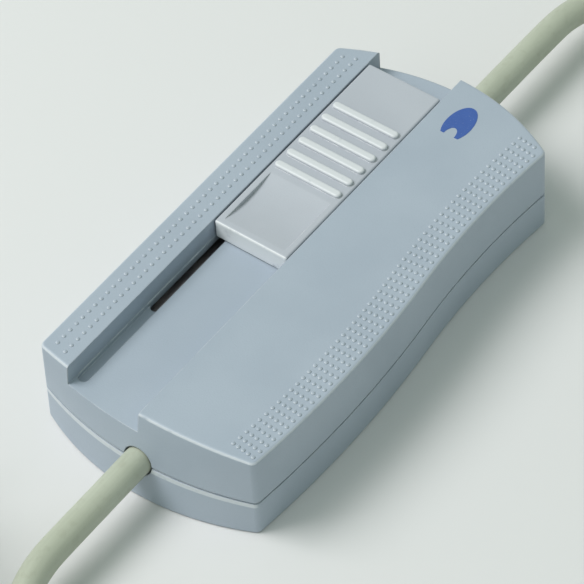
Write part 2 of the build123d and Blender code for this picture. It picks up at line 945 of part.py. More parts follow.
def coil_centre():
    start = coil_start()
    inward = radians(coil_heading() - 90)
    radius = coil_outer_radius()
    return Vector(start.X + radius * cos(inward), start.Y + radius * sin(inward), 0)


def plug_z():
    """The height of the plug's middle, as it lies on the third layer."""
    top = coil_bottom + cord_diameter + (coil_layers - 2) * coil_pitch
    return top + plug_seat_gap + plug_thickness / 2


def coil_point(turn):
    """A point of the winding, which spirals in and out and climbs a layer at each reversal."""
    spread = coil_spread()
    span = min(int(turn / spread), coil_layers - 1)
    along = turn - span * spread
    in_or_out = along if span % 2 == 0 else spread - along
    radius = coil_outer_radius() - coil_pitch * in_or_out
    z = coil_bottom + cord_radius
    for reversal in range(1, coil_layers):
        share = min(max((turn - reversal * spread) / climb_turns + 0.5, 0), 1)
        last = reversal == coil_layers - 1
        rise = plug_z() - z_of_layer(reversal - 1) if last else coil_pitch
        z += rise * share * share * (3 - 2 * share)
    angle = radians(coil_heading() + 90 - 360 * turn)
    centre = coil_centre()
    return Vector(centre.X + radius * cos(angle), centre.Y + radius * sin(angle), z)


def z_of_layer(number):
    return coil_bottom + cord_radius + number * coil_pitch


def biarc(start, start_way, end, end_way):
    """Two tangent arcs from one point to the next, given the way at each."""
    gap = end - start
    ways = start_way + end_way
    spread = 2 * (1 - start_way.dot(end_way))
    reach = (sqrt(gap.dot(ways) ** 2 + spread * gap.dot(gap)) - gap.dot(ways)) / spread
    from_start, from_end = start + start_way * reach, end - end_way * reach
    middle = (from_start + from_end) / 2
    joint_way = (from_end - from_start).normalized()
    return [
        Edge.make_tangent_arc(start, start_way, middle),
        Edge.make_tangent_arc(middle, joint_way, end),
    ]


def coil_path():
    count = round(coil_turns() * coil_sides)
    turns = [coil_turns() * i / count for i in range(count + 1)]
    points = [coil_point(t) for t in turns]
    nudge = 0.002
    ways = [(coil_point(t + nudge) - coil_point(t - nudge)).normalized() for t in turns[1:-1]]
    ways = [coil_way()] + ways + [Vector(1, 0, 0)]
    edges = [Edge.make_line(points[0] - coil_way() * cord_diameter, points[0])]
    for a, wa, b, wb in zip(points, ways, points[1:], ways[1:]):
        edges += biarc(a, wa, b, wb)
    edges.append(Edge.make_line(points[-1], points[-1] + Vector(cord_diameter, 0, 0)))
    return Wire(edges)


def least_gap(path):
    """The least gap between a wound cord's surfaces, measured on points half a turn or more apart."""
    count = 700
    points = [path @ (i / count) for i in range(count + 1)]
    step = path.length / count
    skip = int(pi * coil_middle_radius / step)
    nearest = min(
        (points[i] - points[j]).length for i in range(count + 1) for j in range(i + skip, count + 1)
    )
    return nearest - cord_diameter


def mains_cord_coil():
    path = coil_path()
    coil = round_sweep(path, cord_radius)
    print("mains_cord_coil least gap", round(least_gap(path), 2))
    report("mains_cord_coil", path, coil)
    return coil


def coil_tie():
    """A strap once round the bundle of turns, standing on the floor."""
    inner = coil_middle_radius - coil_pitch * coil_spread() / 2 - cord_radius - tie_gap
    outer = coil_outer_radius() + cord_radius + tie_gap
    low = coil_bottom - tie_gap
    high = z_of_layer(coil_layers - 2) + cord_radius + tie_gap
    across = about(0, tie_width)
    t = tie_thickness
    ring = block((inner - t, outer + t), across, (low - t, high + t))
    ring = fillet(ring.edges().filter_by(Axis.Y), tie_corner_radius)
    hole = block((inner, outer), about(0, tie_width + 2), (low, high))
    ring -= fillet(hole.edges().filter_by(Axis.Y), tie_corner_radius - t)
    centre = coil_centre()
    return Pos(centre.X, centre.Y, 0) * Rot(0, 0, tie_angle) * ring


def plug_rear():
    """The middle of the plug's rear face, where the cord goes in, with the pins along +X."""
    return coil_point(coil_turns()) + Vector(cord_diameter, 0, 0)


def plug_body():
    neck, face = plug_neck_width / 2, plug_length - plug_face_length
    edge = [
        (0, neck),
        (plug_neck_length, neck + plug_neck_flare),
        (face, plug_width / 2),
        (plug_length, plug_width / 2),
    ]
    other_edge = [(x, -y) for x, y in reversed(edge)]
    shape = Polyline(*edge, *other_edge, close=True)
    body = extrude(make_face(shape), plug_thickness / 2, both=True)
    corners = [e for e in body.edges().filter_by(Axis.Z) if e.center().X > neck / 2]
    body = fillet(corners, plug_corner_radius)
    body = fillet(body.faces().sort_by(Axis.Z)[-1].edges(), plug_edge_radius)
    body = fillet(body.faces().sort_by(Axis.Z)[0].edges(), plug_edge_radius)
    for y in (-pin_apart / 2, pin_apart / 2):
        body -= rod_x(pin_core_radius, (plug_length - pin_depth, plug_length + 1), y, 0)
    return Pos(*plug_rear()) * body


def plug_pins():
    pins = []
    for y in (-pin_apart / 2, pin_apart / 2):
        tip = plug_length + pin_length
        core = rod_x(pin_core_radius, (plug_length - pin_depth, plug_length + pin_sleeve_length), y, 0)
        head = rod_x(pin_radius, (plug_length + pin_sleeve_length, tip), y, 0)
        head = fillet(head.edges().sort_by(Axis.X)[-1], pin_tip_radius)
        pins.append(Pos(*plug_rear()) * (core + head))
    return pins


def plug_pin_sleeves():
    x = (plug_length, plug_length + pin_sleeve_length)
    return [
        Pos(*plug_rear())
        * (rod_x(pin_sleeve_radius, x, y, 0) - rod_x(pin_core_radius, (x[0] - 1, x[1] + 1), y, 0))
        for y in (-pin_apart / 2, pin_apart / 2)
    ]


def free_cores():
    """The lamp cord's two cores past its sheath, side by side."""
    return free_ends(core_radius, 0, free_core_length)


def core_ferrules():
    return free_ends(ferrule_radius, free_core_length, free_core_length + ferrule_length)


def free_ends(radius, low, high):
    end = Vector(*lamp_route[-1])
    way = (end - Vector(*lamp_route[-2])).normalized()
    face = Plane(origin=end, x_dir=Vector(way.Y, -way.X, 0), z_dir=way)
    return [
        face * Pos(side * core_apart, 0, (low + high) / 2) * Cylinder(radius, high - low)
        for side in (-1, 1)
    ]


def save(name, shape):
    """Writes one piece, or a group of like pieces, as one node."""
    if isinstance(shape, list):
        shape = Compound([piece.solid() for piece in shape])
    export_step(shape, f"parts/{name}.step")


os.makedirs("parts", exist_ok=True)

# Casing
save("base_shell", base_shell())
save("cover_shell", cover_shell())
save("casing_screws", casing_screws())

# Slider and the potentiometer's moving pieces
save("slider_knob", slider_knob())
save("wiper_lever", wiper_lever())
save("wiper_carriage", wiper_carriage())
save("wiper_contacts", wiper_contacts())

# Board and what is on it
save("circuit_board", circuit_board())
save("board_screws", board_screws())
save("potentiometer_frame", potentiometer_frame())
save("potentiometer_plate", potentiometer_plate())
save("potentiometer_tracks", potentiometer_tracks())
save("triac_heatsink", triac_heatsink())
save("triac", triac())
save("triac_screw", triac_screw())
save("choke_core", choke_core())
save("choke_winding", choke_winding())
save("filter_capacitor", box_part(filter_capacitor, filter_capacitor_at))
save("timing_capacitor", box_part(timing_capacitor, timing_capacitor_at))
save("diac", axial_part(diac_radius, diac_length, diac_at, True))
save("resistors", resistors())
save("fuse_glass", fuse_glass())
save("fuse_wire", fuse_wire())
save("fuse_caps", fuse_caps())
save("fuse_clips", fuse_clips())
save("mains_terminal", terminal(-1))
save("lamp_terminal", terminal(1))
save("terminal_tubes", terminal_tubes())
save("terminal_screws", terminal_screws())

# Cord clamps and the cores inside
save("mains_cord_clamp", cord_clamp(-1))
save("lamp_cord_clamp", cord_clamp(1))
save("clamp_screws", clamp_screws())
save("mains_cores", inner_cores(-1))
save("lamp_cores", inner_cores(1))

# Free cords
save("mains_cord", cord("mains_cord", mains_route))
save("mains_cord_coil", mains_cord_coil())
save("coil_tie", coil_tie())
save("plug_body", plug_body())
save("plug_pins", plug_pins())
save("plug_pin_sleeves", plug_pin_sleeves())
save("lamp_cord", cord("lamp_cord", lamp_route))
save("lamp_free_cores", free_cores())
save("lamp_core_ferrules", core_ferrules())
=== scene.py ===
# %% [markdown]
# # A cord dimmer with a sliding control
#
# This lesson dresses a dimmer that sits in the cord of a table lamp. Its body is two shells of pale
# blue-grey plastic, a ribbed control slides in a long channel, and a round cream cord leaves each
# end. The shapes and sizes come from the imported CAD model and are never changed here. What is added
# is what CAD leaves out: the cords' own line, the moulded dots, the printed mark, the plug's boot
# and grips, the twisted ends of the tie, the wound wire and the finishes. Lengths are in
# millimetres until they meet Blender, where mm turns them into metres.

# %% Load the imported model
import json
import math

import bmesh
import bpy
from mathutils import Matrix, Vector

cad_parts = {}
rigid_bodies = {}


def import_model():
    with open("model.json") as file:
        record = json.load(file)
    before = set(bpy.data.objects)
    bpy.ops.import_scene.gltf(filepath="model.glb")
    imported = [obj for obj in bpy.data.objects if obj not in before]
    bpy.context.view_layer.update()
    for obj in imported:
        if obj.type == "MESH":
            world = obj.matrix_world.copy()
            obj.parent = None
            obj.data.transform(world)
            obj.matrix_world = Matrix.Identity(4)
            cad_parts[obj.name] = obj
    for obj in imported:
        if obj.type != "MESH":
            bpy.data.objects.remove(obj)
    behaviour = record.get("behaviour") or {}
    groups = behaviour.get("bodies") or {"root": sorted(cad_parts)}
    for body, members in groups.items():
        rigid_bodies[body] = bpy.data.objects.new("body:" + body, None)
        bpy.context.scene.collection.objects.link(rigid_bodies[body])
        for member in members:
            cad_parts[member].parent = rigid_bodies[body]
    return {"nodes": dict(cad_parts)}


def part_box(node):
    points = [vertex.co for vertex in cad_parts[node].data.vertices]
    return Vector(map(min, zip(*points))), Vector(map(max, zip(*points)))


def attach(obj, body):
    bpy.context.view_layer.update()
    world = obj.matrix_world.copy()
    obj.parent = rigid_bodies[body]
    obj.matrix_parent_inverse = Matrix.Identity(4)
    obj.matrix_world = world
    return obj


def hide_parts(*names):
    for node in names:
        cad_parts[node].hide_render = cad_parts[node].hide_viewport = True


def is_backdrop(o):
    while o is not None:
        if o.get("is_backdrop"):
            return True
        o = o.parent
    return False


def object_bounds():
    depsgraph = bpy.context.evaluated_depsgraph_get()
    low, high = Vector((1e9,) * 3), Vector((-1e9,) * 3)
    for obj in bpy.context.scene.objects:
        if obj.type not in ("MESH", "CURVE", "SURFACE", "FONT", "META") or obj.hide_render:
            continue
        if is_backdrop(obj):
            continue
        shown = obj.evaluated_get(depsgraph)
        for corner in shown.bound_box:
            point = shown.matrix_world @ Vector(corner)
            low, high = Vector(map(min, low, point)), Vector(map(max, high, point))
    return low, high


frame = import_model()
solid_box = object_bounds()
nodes = frame["nodes"]
mm = 0.001
print(f"{len(nodes)} CAD nodes, {[round((b - a) / mm, 1) for a, b in zip(*solid_box)]} mm overall")

# %% [markdown]
# ## The camera
#
# The camera looks down at the dimmer from the end where the mains cord comes in, with a long lens
# and a slight tilt to the side. Three angles and a distance place it, and the lens follows from how
# much of the dimmer has to fill the square picture.

# %% Place the camera
view_azimuth = math.radians(309.9)
view_elevation = math.radians(49.3)
view_roll = math.radians(-4.0)
view_distance = 0.824
view_centre = Vector((-3.4, 0.5, 11.0)) * mm
view_half_width = 61.0 * mm

back = Vector(
    (
        math.sin(view_azimuth) * math.cos(view_elevation),
        -math.cos(view_azimuth) * math.cos(view_elevation),
        math.sin(view_elevation),
    )
)
across = Vector((math.cos(view_azimuth), math.sin(view_azimuth), 0))
upward = back.cross(across)
across, upward = (
    across * math.cos(view_roll) + upward * math.sin(view_roll),
    upward * math.cos(view_roll) - across * math.sin(view_roll),
)
camera_data = bpy.data.cameras.new("camera")
camera_data.lens = camera_data.sensor_width / 2 * view_distance / view_half_width
camera_data.clip_start, camera_data.clip_end = 0.01, 100
camera = bpy.data.objects.new("camera", camera_data)
turn = Matrix((across, upward, back)).transposed().to_4x4()
camera.matrix_world = Matrix.Translation(view_centre + back * view_distance) @ turn
bpy.context.scene.collection.objects.link(camera)
bpy.context.scene.camera = camera
print(f"lens {camera_data.lens:.0f} mm at {view_distance} m")

# %% [markdown]
# ## The two cords
#
# A cord is one open NURBS curve. Its control points follow the CAD route, slid along it a little so
# that both cords leave the casing straight, and the curve cuts inside each corner the way a real
# sheath lies. The mains cord is 1.2 m long. Its first stretch is what one sees, and the rest is put
# away as a neat coil in four layers, which winds inwards and back outwards in turn. The coil is
# worked out turn by turn from its pitch, because that gives one smooth line.

# %% Sizes of the cords
cord_diameter = 6.4 * mm
mains_route = [
    (-42.7714, 0.0, 9.6),
    (-72.0, 0.0, 9.6),
    (-94.5, 0.2, 8.8),
    (-112.0, -12.2, 3.8),
    (-122.6, -19.6, 3.8),
]
lamp_route = [
    (44.4, 0.0, 9.6),
    (83.0, 0.0, 9.6),
    (102.0, -0.4, 9.0),
    (117.0, -9.2, 4.2),
    (128.0, -17.0, 3.2),
]
print(f"a cord is {cord_diameter / mm} mm thick")

# %% Wind the coil
coil_pitch = 6.9
coil_middle_radius = 32.0
coil_layers = 4
coil_whole_turns = 6
coil_bottom = 0.6
coil_points_per_turn = 24
top_layer_turns = 0.25
climb_turns = 0.5
plug_rear = Vector((-143.285, 35.593, 27.85))


def smooth_step(t):
    """0 before 0, 1 after 1, and an S curve between them."""
    t = min(max(t, 0.0), 1.0)
    return t * t * (3 - 2 * t)


def coil_points(route):
    """The coil's points in mm, from a run-in along the route's last stretch to the plug's rear."""
    last, before = Vector(route[-1]), Vector(route[-2])
    way = (last - before).normalized()
    heading = math.atan2(way.y, way.x)
    turns = coil_whole_turns + heading / math.tau
    spread = (turns - top_layer_turns) / (coil_layers - 1)
    outer = coil_middle_radius + coil_pitch * spread / 2
    start = last + way * cord_diameter / mm
    side = heading - math.pi / 2
    centre = start + outer * Vector((math.cos(side), math.sin(side), 0))
    low = coil_bottom + cord_diameter / mm / 2
    count = round(turns * coil_points_per_turn)
    points = []
    for i in range(count + 1):
        turn = turns * i / count
        layer, along = divmod(turn, spread)
        inward = along if int(layer) % 2 == 0 else spread - along
        radius = outer - coil_pitch * inward
        angle = heading + math.pi / 2 - math.tau * turn
        height = low
        for reversal in range(1, coil_layers):
            top = reversal == coil_layers - 1
            rise = plug_rear.z - low - coil_pitch * (reversal - 1) if top else coil_pitch
            height += rise * smooth_step((turn - reversal * spread) / climb_turns + 0.5)
        aside = Vector((math.cos(angle), math.sin(angle))) * radius
        points.append((centre.x + aside.x, centre.y + aside.y, height))
    print(f"coil of {turns:.2f} turns, {2 * outer:.0f} mm across at its widest turn")
    return points + [tuple(plug_rear)]


# %% Draw a cord as one NURBS curve
def drawn_line(name, points, kind="NURBS"):
    """A curve through points in metres, not yet in the scene."""
    data = bpy.data.curves.new(name, "CURVE")
    data.dimensions = "3D"
    spline = data.splines.new(kind)
    spline.points.add(len(points) - 1)
    for slot, point in zip(spline.points, points):
        slot.co = (*point, 1.0)
    if kind == "NURBS":
        spline.order_u = 3
        spline.use_endpoint_u = True
    return bpy.data.objects.new(name, data)


def cord_curve(name, points):
    """A cord as one open NURBS curve through points in mm."""
    cord = drawn_line(name, [Vector(point) * mm for point in points])
    cord.data.resolution_u = 10
    cord.data.bevel_depth = cord_diameter / 2
    cord.data.bevel_resolution = 6
    cord.data.use_fill_caps = True
    bpy.context.scene.collection.objects.link(cord)
    return cord


# %% Draw both cords and measure their centre lines
def centre_line(curve):
    """The points that a cord's centre follows, in metres."""
    bare = bpy.data.objects.new("bare_line", curve.data.copy())
    bare.data.bevel_depth = 0
    bpy.context.scene.collection.objects.link(bare)
    bpy.context.view_layer.update()
    mesh = bpy.data.meshes.new_from_object(bare)
    points = [v.co.copy() for v in mesh.vertices]
    bpy.data.objects.remove(bare)
    return points


def length_of(points):
    return sum((b - a).length for a, b in zip(points, points[1:]))


mains_cord = cord_curve("mains_lead", mains_route + coil_points(mains_route))
lamp_cord = cord_curve("lamp_lead", lamp_route)
mains_line, lamp_line = centre_line(mains_cord), centre_line(lamp_cord)
print(f"mains cord {length_of(mains_line):.3f} m, lamp cord {length_of(lamp_line):.3f} m")

# %% [markdown]
# ## The floor and the light
#
# The dimmer lies on a pale table. The camera sees the air around it as white, while the light that
# falls on it is a plain grey sky, one large soft lamp behind the left shoulder and a weaker, lower
# one beyond the mains end. That keeps the top palest, the short end a little darker and the long
# waved side darkest.

# %% Make the floor and the sky
floor_size = 60.0
floor_mesh = bpy.data.meshes.new("floor")
corner = floor_size / 2
floor_mesh.from_pydata(
    [(-corner, -corner, 0), (corner, -corner, 0), (corner, corner, 0), (-corner, corner, 0)],
    [],
    [(0, 1, 2, 3)],
)
floor = bpy.data.objects.new("floor", floor_mesh)
bpy.context.scene.collection.objects.link(floor)
floor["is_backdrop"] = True

sky = bpy.data.worlds.new("sky")
bpy.context.scene.world = sky
sky.use_nodes = True
bpy.context.scene.view_settings.view_transform = "Standard"
print(f"floor {floor_size} m wide")

# %% [markdown]
# ## Writing nodes as sums
#
# Every finish below is a small calculation over the surface: how far along, how worn, how deep in a
# groove. Wire wraps one output socket so that those calculations read as sums. Tree adds nodes,
# both for finishes and, later, for the shapes that repeat.


# %% Wrap a socket
class Wire:
    """An output socket that can stand in a sum, a product or a comparison."""

    def __init__(self, tree, socket):
        self.tree, self.socket = tree, socket

    def math(self, operation, *values):
        settings = {"operation": operation}
        return self.tree.node("ShaderNodeMath", settings, dict(enumerate(values)))

    def __add__(self, other):
        return self.math("ADD", self, other)

    def __sub__(self, other):
        return self.math("SUBTRACT", self, other)

    def __rsub__(self, other):
        return self.math("SUBTRACT", other, self)

    def __mul__(self, other):
        return self.math("MULTIPLY", self, other)

    def __truediv__(self, other):
        return self.math("DIVIDE", self, other)

    def __rtruediv__(self, other):
        return self.math("DIVIDE", other, self)

    def __pow__(self, other):
        return self.math("POWER", self, other)

    def __gt__(self, other):
        return self.math("GREATER_THAN", self, other)

    def __lt__(self, other):
        return self.math("LESS_THAN", self, other)

    def __neg__(self):
        return self.math("MULTIPLY", self, -1.0)

    def __abs__(self):
        return self.math("ABSOLUTE", self)

    __radd__, __rmul__ = __add__, __mul__

    def sine(self):
        return self.math("SINE", self)

    def fraction(self):
        return self.math("FRACT", self)

    def larger(self, other):
        return self.math("MAXIMUM", self, other)

    def smaller(self, other):
        return self.math("MINIMUM", self, other)

    def wrap(self, size):
        """How far into a repeat of that size, from minus half of it to half of it."""
        return ((self / size).fraction() - 0.5) * size

    def past(self, edge, blur):
        """0 before an edge and 1 past it, with a short blur to each side."""
        return self.rise(edge - blur, edge + blur)

    def rise(self, start, end):
        """0 at start, 1 at end, smooth between them."""
        return self.tree.node(
            "ShaderNodeMapRange",
            {"interpolation_type": "SMOOTHSTEP"},
            {"Value": self, "From Min": start, "From Max": end},
        )


# %% Wrap a node tree
class Tree:
    """Adds nodes to a node tree."""

    def __init__(self, tree):
        self.tree = tree

    def node(self, kind, settings=None, sockets=None, out=0):
        """Adds a node: its settings first, then the values or wires of its sockets."""
        made = self.tree.nodes.new(kind)
        for name, value in (settings or {}).items():
            if name == "stops":
                self.stops(made.color_ramp, value)
            else:
                setattr(made, name, value)
        for name, value in (sockets or {}).items():
            if isinstance(value, Wire):
                self.tree.links.new(value.socket, made.inputs[name])
            else:
                made.inputs[name].default_value = value
        return Wire(self, made.outputs[out]) if made.outputs else None

    def stops(self, ramp, stops):
        """Gives a colour ramp its stops: pairs of a place and a colour."""
        while len(ramp.elements) < len(stops):
            ramp.elements.new(1.0)
        for element, (place, colour) in zip(ramp.elements, stops):
            element.position, element.color = place, (*colour, 1.0)

# %% [markdown]
# ## A finish
#
# Finish is a material in the making. Its patterns are laid out in millimetres on the object's own
# coordinates, so a grain of 0.4 mm is written as 0.4. Its methods give the few things that all
# moulded and metal parts share: noise of a given size, edges that handling has polished and that
# some finishes also paint paler as highlights, and corners and grooves, darkened as painted shade.


# %% Start a finish
class Finish(Tree):
    """A material whose patterns are measured in millimetres."""

    def __init__(self, name):
        self.material = bpy.data.materials.new(name)
        self.material.use_nodes = True
        super().__init__(self.material.node_tree)
        self.tree.nodes.clear()
        place = self.node("ShaderNodeTexCoord", out="Object")
        self.place = self.node(
            "ShaderNodeVectorMath", {"operation": "SCALE"}, {0: place, "Scale": 1 / mm}
        )
        parts = self.node("ShaderNodeSeparateXYZ", sockets={0: self.place}).socket.node
        self.x, self.y, self.z = (Wire(self, output) for output in parts.outputs)

    def noise(self, size, detail=2.0, stretch=(1, 1, 1), place=None):
        """Soft random values about 0.5 whose lumps are so many millimetres across."""
        place = self.node(
            "ShaderNodeVectorMath",
            {"operation": "MULTIPLY"},
            {0: place or self.place, 1: tuple(1 / s for s in stretch)},
        )
        return self.node(
            "ShaderNodeTexNoise", sockets={"Vector": place, "Scale": 1 / size, "Detail": detail}
        )

    def mix(self, amount, first, second, blend="MIX"):
        """Goes from the first colour to the second."""
        first, second = (c if isinstance(c, Wire) else (*c, 1.0) for c in (first, second))
        settings = {"data_type": "RGBA", "blend_type": blend}
        return self.node("ShaderNodeMix", settings, {0: amount, 6: first, 7: second}, 2)

    def facing(self, axis):
        """How far the surface looks along an axis: 1 along it, -1 against it."""
        normal = self.node("ShaderNodeNewGeometry", out="Normal")
        return self.node("ShaderNodeSeparateXYZ", sockets={0: normal}, out=axis)

    def soft_edges(self, radius):
        """The surface normal with its edges rounded over, in millimetres."""
        return self.node("ShaderNodeBevel", {"samples": 6}, {"Radius": radius * mm})

    def edges(self, radius):
        """1 on sharp edges, 0 on open surfaces."""
        sharp = self.node("ShaderNodeNewGeometry", out="Normal")
        rounded = self.soft_edges(radius)
        match = self.node(
            "ShaderNodeVectorMath", {"operation": "DOT_PRODUCT"}, {0: sharp, 1: rounded}, "Value"
        )
        return (1 - match).rise(0.03, 0.25)

    def corners(self, reach):
        """Painted shade: 1 deep in a corner or groove, where little light reaches, 0 in the open."""
        settings = {"samples": 8, "only_local": False}
        shade = self.node("ShaderNodeAmbientOcclusion", settings, {"Distance": reach * mm}, "AO")
        return 1 - shade

    def bump(self, height, depth, normal=None):
        """A bump as deep as depth, in millimetres, where height goes from 0 to 1."""
        sockets = {"Height": height, "Distance": depth * mm, "Strength": 1.0}
        if normal:
            sockets["Normal"] = normal
        return self.node("ShaderNodeBump", sockets=sockets)

    def surface(self, colour, roughness, normal=None, **others):
        """Ends the finish in a shader. Names in others are the shader's own sockets."""
        sockets = {"Base Color": colour, "Roughness": roughness}
        if normal:
            sockets["Normal"] = normal
        sockets.update({name.replace("_", " "): value for name, value in others.items()})
        shader = self.node("ShaderNodeBsdfPrincipled", sockets=sockets)
        self.node("ShaderNodeOutputMaterial", sockets={"Surface": shader})
        return self.material

# %% [markdown]
# ## Moulded plastic
#
# The shells were moulded in a tool with a spark-eroded grain, which gives them their satin look:
# lumps of about a third of a millimetre and a few hundredths deep. The colour drifts slightly from
# place to place with the flow of the plastic, a faint fleck of pigment shows close up, and the edges
# are a little paler and smoother where hands have rubbed them. On the casing and the slider, the pale
# edges and the faces towards the mains end are also painted highlights. Grooves are painted darker
# as shade.


# %% Mix a moulded plastic
def lighter(colour, amount):
    return tuple(c + (1 - c) * amount for c in colour)


def darker(colour, amount):
    return tuple(c * (1 - amount) for c in colour)


def moulded(
    name,
    colour,
    roughness=0.46,
    grain=0.38,
    depth=0.026,
    edge=0.35,
    wear_and_highlight=0.22,
    bleach=0.5,
    wear_and_highlight_mask=None,
):
    """A satin moulded plastic. Grain, depth and edge are in millimetres.

    The paleness of edges is an amount of rubbing and painted highlight, and bleach says how pale it
    leaves the colour. The mask argument takes the finish and gives the places, besides edges, that
    are
    painted paler: partly rubbing by hands, partly painted highlights.
    """
    paint = Finish(name)
    drift = paint.noise(26, 3).rise(0.35, 0.65)
    fleck = paint.noise(0.22, 1).rise(0.56, 0.72)
    # Edges painted paler: partly rubbing, and painted highlight where the amount is high or the mask
    # adds places.
    rubbed_and_highlit = paint.edges(edge) * paint.noise(3.0, 3).rise(0.35, 0.6)
    if wear_and_highlight_mask:
        rubbed_and_highlit = rubbed_and_highlit.larger(wear_and_highlight_mask(paint))
    # Painted shade: corners and grooves darkened where little light reaches.
    corner_shade = paint.corners(1.6).rise(0.3, 0.95) * 0.14
    tone = paint.mix(drift, darker(colour, 0.035), lighter(colour, 0.03))
    tone = paint.mix(fleck * 0.35, tone, darker(colour, 0.12))
    tone = paint.mix(rubbed_and_highlit * wear_and_highlight, tone, lighter(colour, bleach))
    tone = paint.mix(corner_shade, tone, (0.20, 0.20, 0.18))
    spark = paint.noise(grain, 3)
    scuff = paint.noise(1.4, 4, (7, 1, 1)).rise(0.60, 0.74)
    shine = roughness + (spark - 0.5) * 0.16 + drift * 0.04 - rubbed_and_highlit * 0.10 + scuff * 0.06
    normal = paint.bump(spark, depth, paint.soft_edges(edge))
    return paint.surface(tone, shine, normal)


channel_floor_z = 17.5
base_lip_z = 9.0
rib_foot_z, rib_crest_z = 22.55, 23.1


def casing_wear_and_highlights(paint):
    """Painted highlights, partly wear: the slanted edges round the top and the lower shell's parting
    edge, palest on faces towards the mains end.
    """
    up, facing_near_end = paint.facing("Z"), (-paint.facing("X")).rise(0.3, 0.9)
    slanted = up.rise(0.25, 0.5) * (1 - up.rise(0.82, 0.96))
    slant_highlight = slanted * paint.z.past(channel_floor_z, 0.5) * (0.55 + facing_near_end * 0.45)
    # Painted highlight along the lower shell's parting edge, on faces towards the mains end.
    lip_highlight = (1 - abs(paint.z - base_lip_z).rise(0.6, 0.9)) * facing_near_end
    return slant_highlight.larger(lip_highlight) * paint.noise(4, 3).rise(0.15, 0.45)


def slider_wear_and_highlights(paint):
    """The tops of the ribs and the end face that the thumb pushes, painted paler: thumb wear and
    painted highlights.
    """
    crest_highlight = paint.z.rise(rib_foot_z, rib_crest_z) * 0.7
    face = (-paint.facing("X")).rise(0.3, 0.6) * paint.z.past(channel_floor_z, 0.5)
    # Painted highlight on the end face towards the mains end, which stands in for that face being
    # lit.
    pushed_face_highlight = face * (1 - (paint.x > 0))
    return crest_highlight.larger(pushed_face_highlight) * paint.noise(2.5, 3).rise(0.1, 0.4)


casing_colour = (0.397, 0.456, 0.536)
slider_colour = (0.490, 0.514, 0.572)
# The casing and the slider have strong paleness on edges and marked places: partly wear, largely
# painted highlight.
casing_plastic = moulded("satin_blue_grey_plastic", casing_colour, wear_and_highlight=0.8, wear_and_highlight_mask=casing_wear_and_highlights)
slider_plastic = moulded(
    "slider_pale_plastic", slider_colour, 0.40, 0.30, 0.012, 0.4, 0.8, 0.8, slider_wear_and_highlights
)
plug_plastic = moulded("plug_cream_plastic", (0.470, 0.515, 0.430), 0.42, 0.36, 0.014, 0.6)
clamp_plastic = moulded("clamp_white_nylon", (0.700, 0.700, 0.660), 0.38, 0.5, 0.008, 0.25)
terminal_plastic = moulded("terminal_ivory_nylon", (0.740, 0.730, 0.650), 0.32, 0.5, 0.006, 0.25)
carriage_plastic = moulded("carriage_black_nylon", (0.020, 0.020, 0.022), 0.35, 0.5, 0.006, 0.2)
sleeve_plastic = moulded("pin_sleeve_black", (0.015, 0.015, 0.017), 0.38, 0.4, 0.006, 0.2)
print("moulded plastics made")

# %% [markdown]
# ## The sheath of the cords
#
# The sheath is soft extruded plastic, a greenish cream next to the blue-grey casing. The die leaves
# faint lines along it. A tube drawn by a curve carries a map that runs along and round it, so those
# lines are noise that is stretched along that map. The cores tell blue from brown by the side of
# the cord's middle line on which they lie, and they are bare copper where the terminals hold them.

# %% Mix the sheath, the cores and the tie
cord_colour = (0.490, 0.520, 0.415)


def sheath():
    """Soft plastic with die lines along it."""
    paint = Finish("cord_cream_sheath")
    mapped = paint.node("ShaderNodeTexCoord", out="UV")
    lines = paint.noise(1.0, 3, (0.04, 0.05, 1), mapped)
    drift = paint.noise(18, 3).rise(0.3, 0.7)
    handled = paint.noise(2.2, 4).rise(0.52, 0.70)
    tone = paint.mix(drift, darker(cord_colour, 0.06), lighter(cord_colour, 0.05))
    tone = paint.mix(handled * 0.18, tone, (0.30, 0.30, 0.22))
    # Painted shade: darker in corners and where the cord lies against another part.
    tone = paint.mix(paint.corners(2.0).rise(0.3, 1.0) * 0.15, tone, (0.16, 0.15, 0.11))
    tone = paint.mix(lines.rise(0.4, 0.7) * 0.16, tone, darker(cord_colour, 0.25))
    skin = paint.noise(0.5, 4)
    shine = 0.42 + (skin - 0.5) * 0.2 + handled * 0.08 - (lines - 0.5) * 0.1
    return paint.surface(tone, shine, paint.bump(skin * 0.4 + lines * 0.6, 0.05))


free_end_x, free_end_y, free_end_slope = 128.0, -17.0, -0.663
free_past, bare_within = 100.0, 36.0


def insulation():
    """Blue and brown cores, and bare copper inside the terminals."""
    paint = Finish("core_blue_and_brown")
    free_line = (paint.x - free_end_x) * free_end_slope + free_end_y
    middle_line = (paint.x > free_past) * free_line
    side = (paint.y - middle_line).past(0.0, 0.02)
    tone = paint.mix(side, (0.020, 0.075, 0.330), (0.110, 0.036, 0.016))
    streak = paint.noise(0.3, 2, (8, 1, 1))
    tone = paint.mix(streak * 0.12, tone, (0.5, 0.5, 0.5))
    bare = abs(paint.x) < bare_within
    strand = (paint.y * 9 + paint.z * 9 + paint.x * 1.5).sine() * 0.5 + 0.5
    tone = paint.mix(bare, tone, (0.72, 0.32, 0.17))
    normal = paint.bump(bare * strand, 0.05)
    return paint.surface(tone, 0.30 + streak * 0.08, normal, Metallic=bare)


def paper_tie():
    """A wire strap in white paper, pressed into fine ridges across its width."""
    paint = Finish("tie_paper_strap")
    ridges = paint.noise(0.55, 2, (1, 1, 5))
    creases = paint.noise(2.5, 4).rise(0.5, 0.7)
    core = paint.noise(6, 1).rise(0.3, 0.7)
    tone = paint.mix(creases * 0.4, (0.76, 0.75, 0.71), (0.55, 0.54, 0.50))
    tone = paint.mix(core * 0.2, tone, (0.80, 0.80, 0.78))
    normal = paint.bump(ridges, 0.08, paint.soft_edges(0.2))
    return paint.surface(tone, 0.75 + ridges * 0.15, normal)


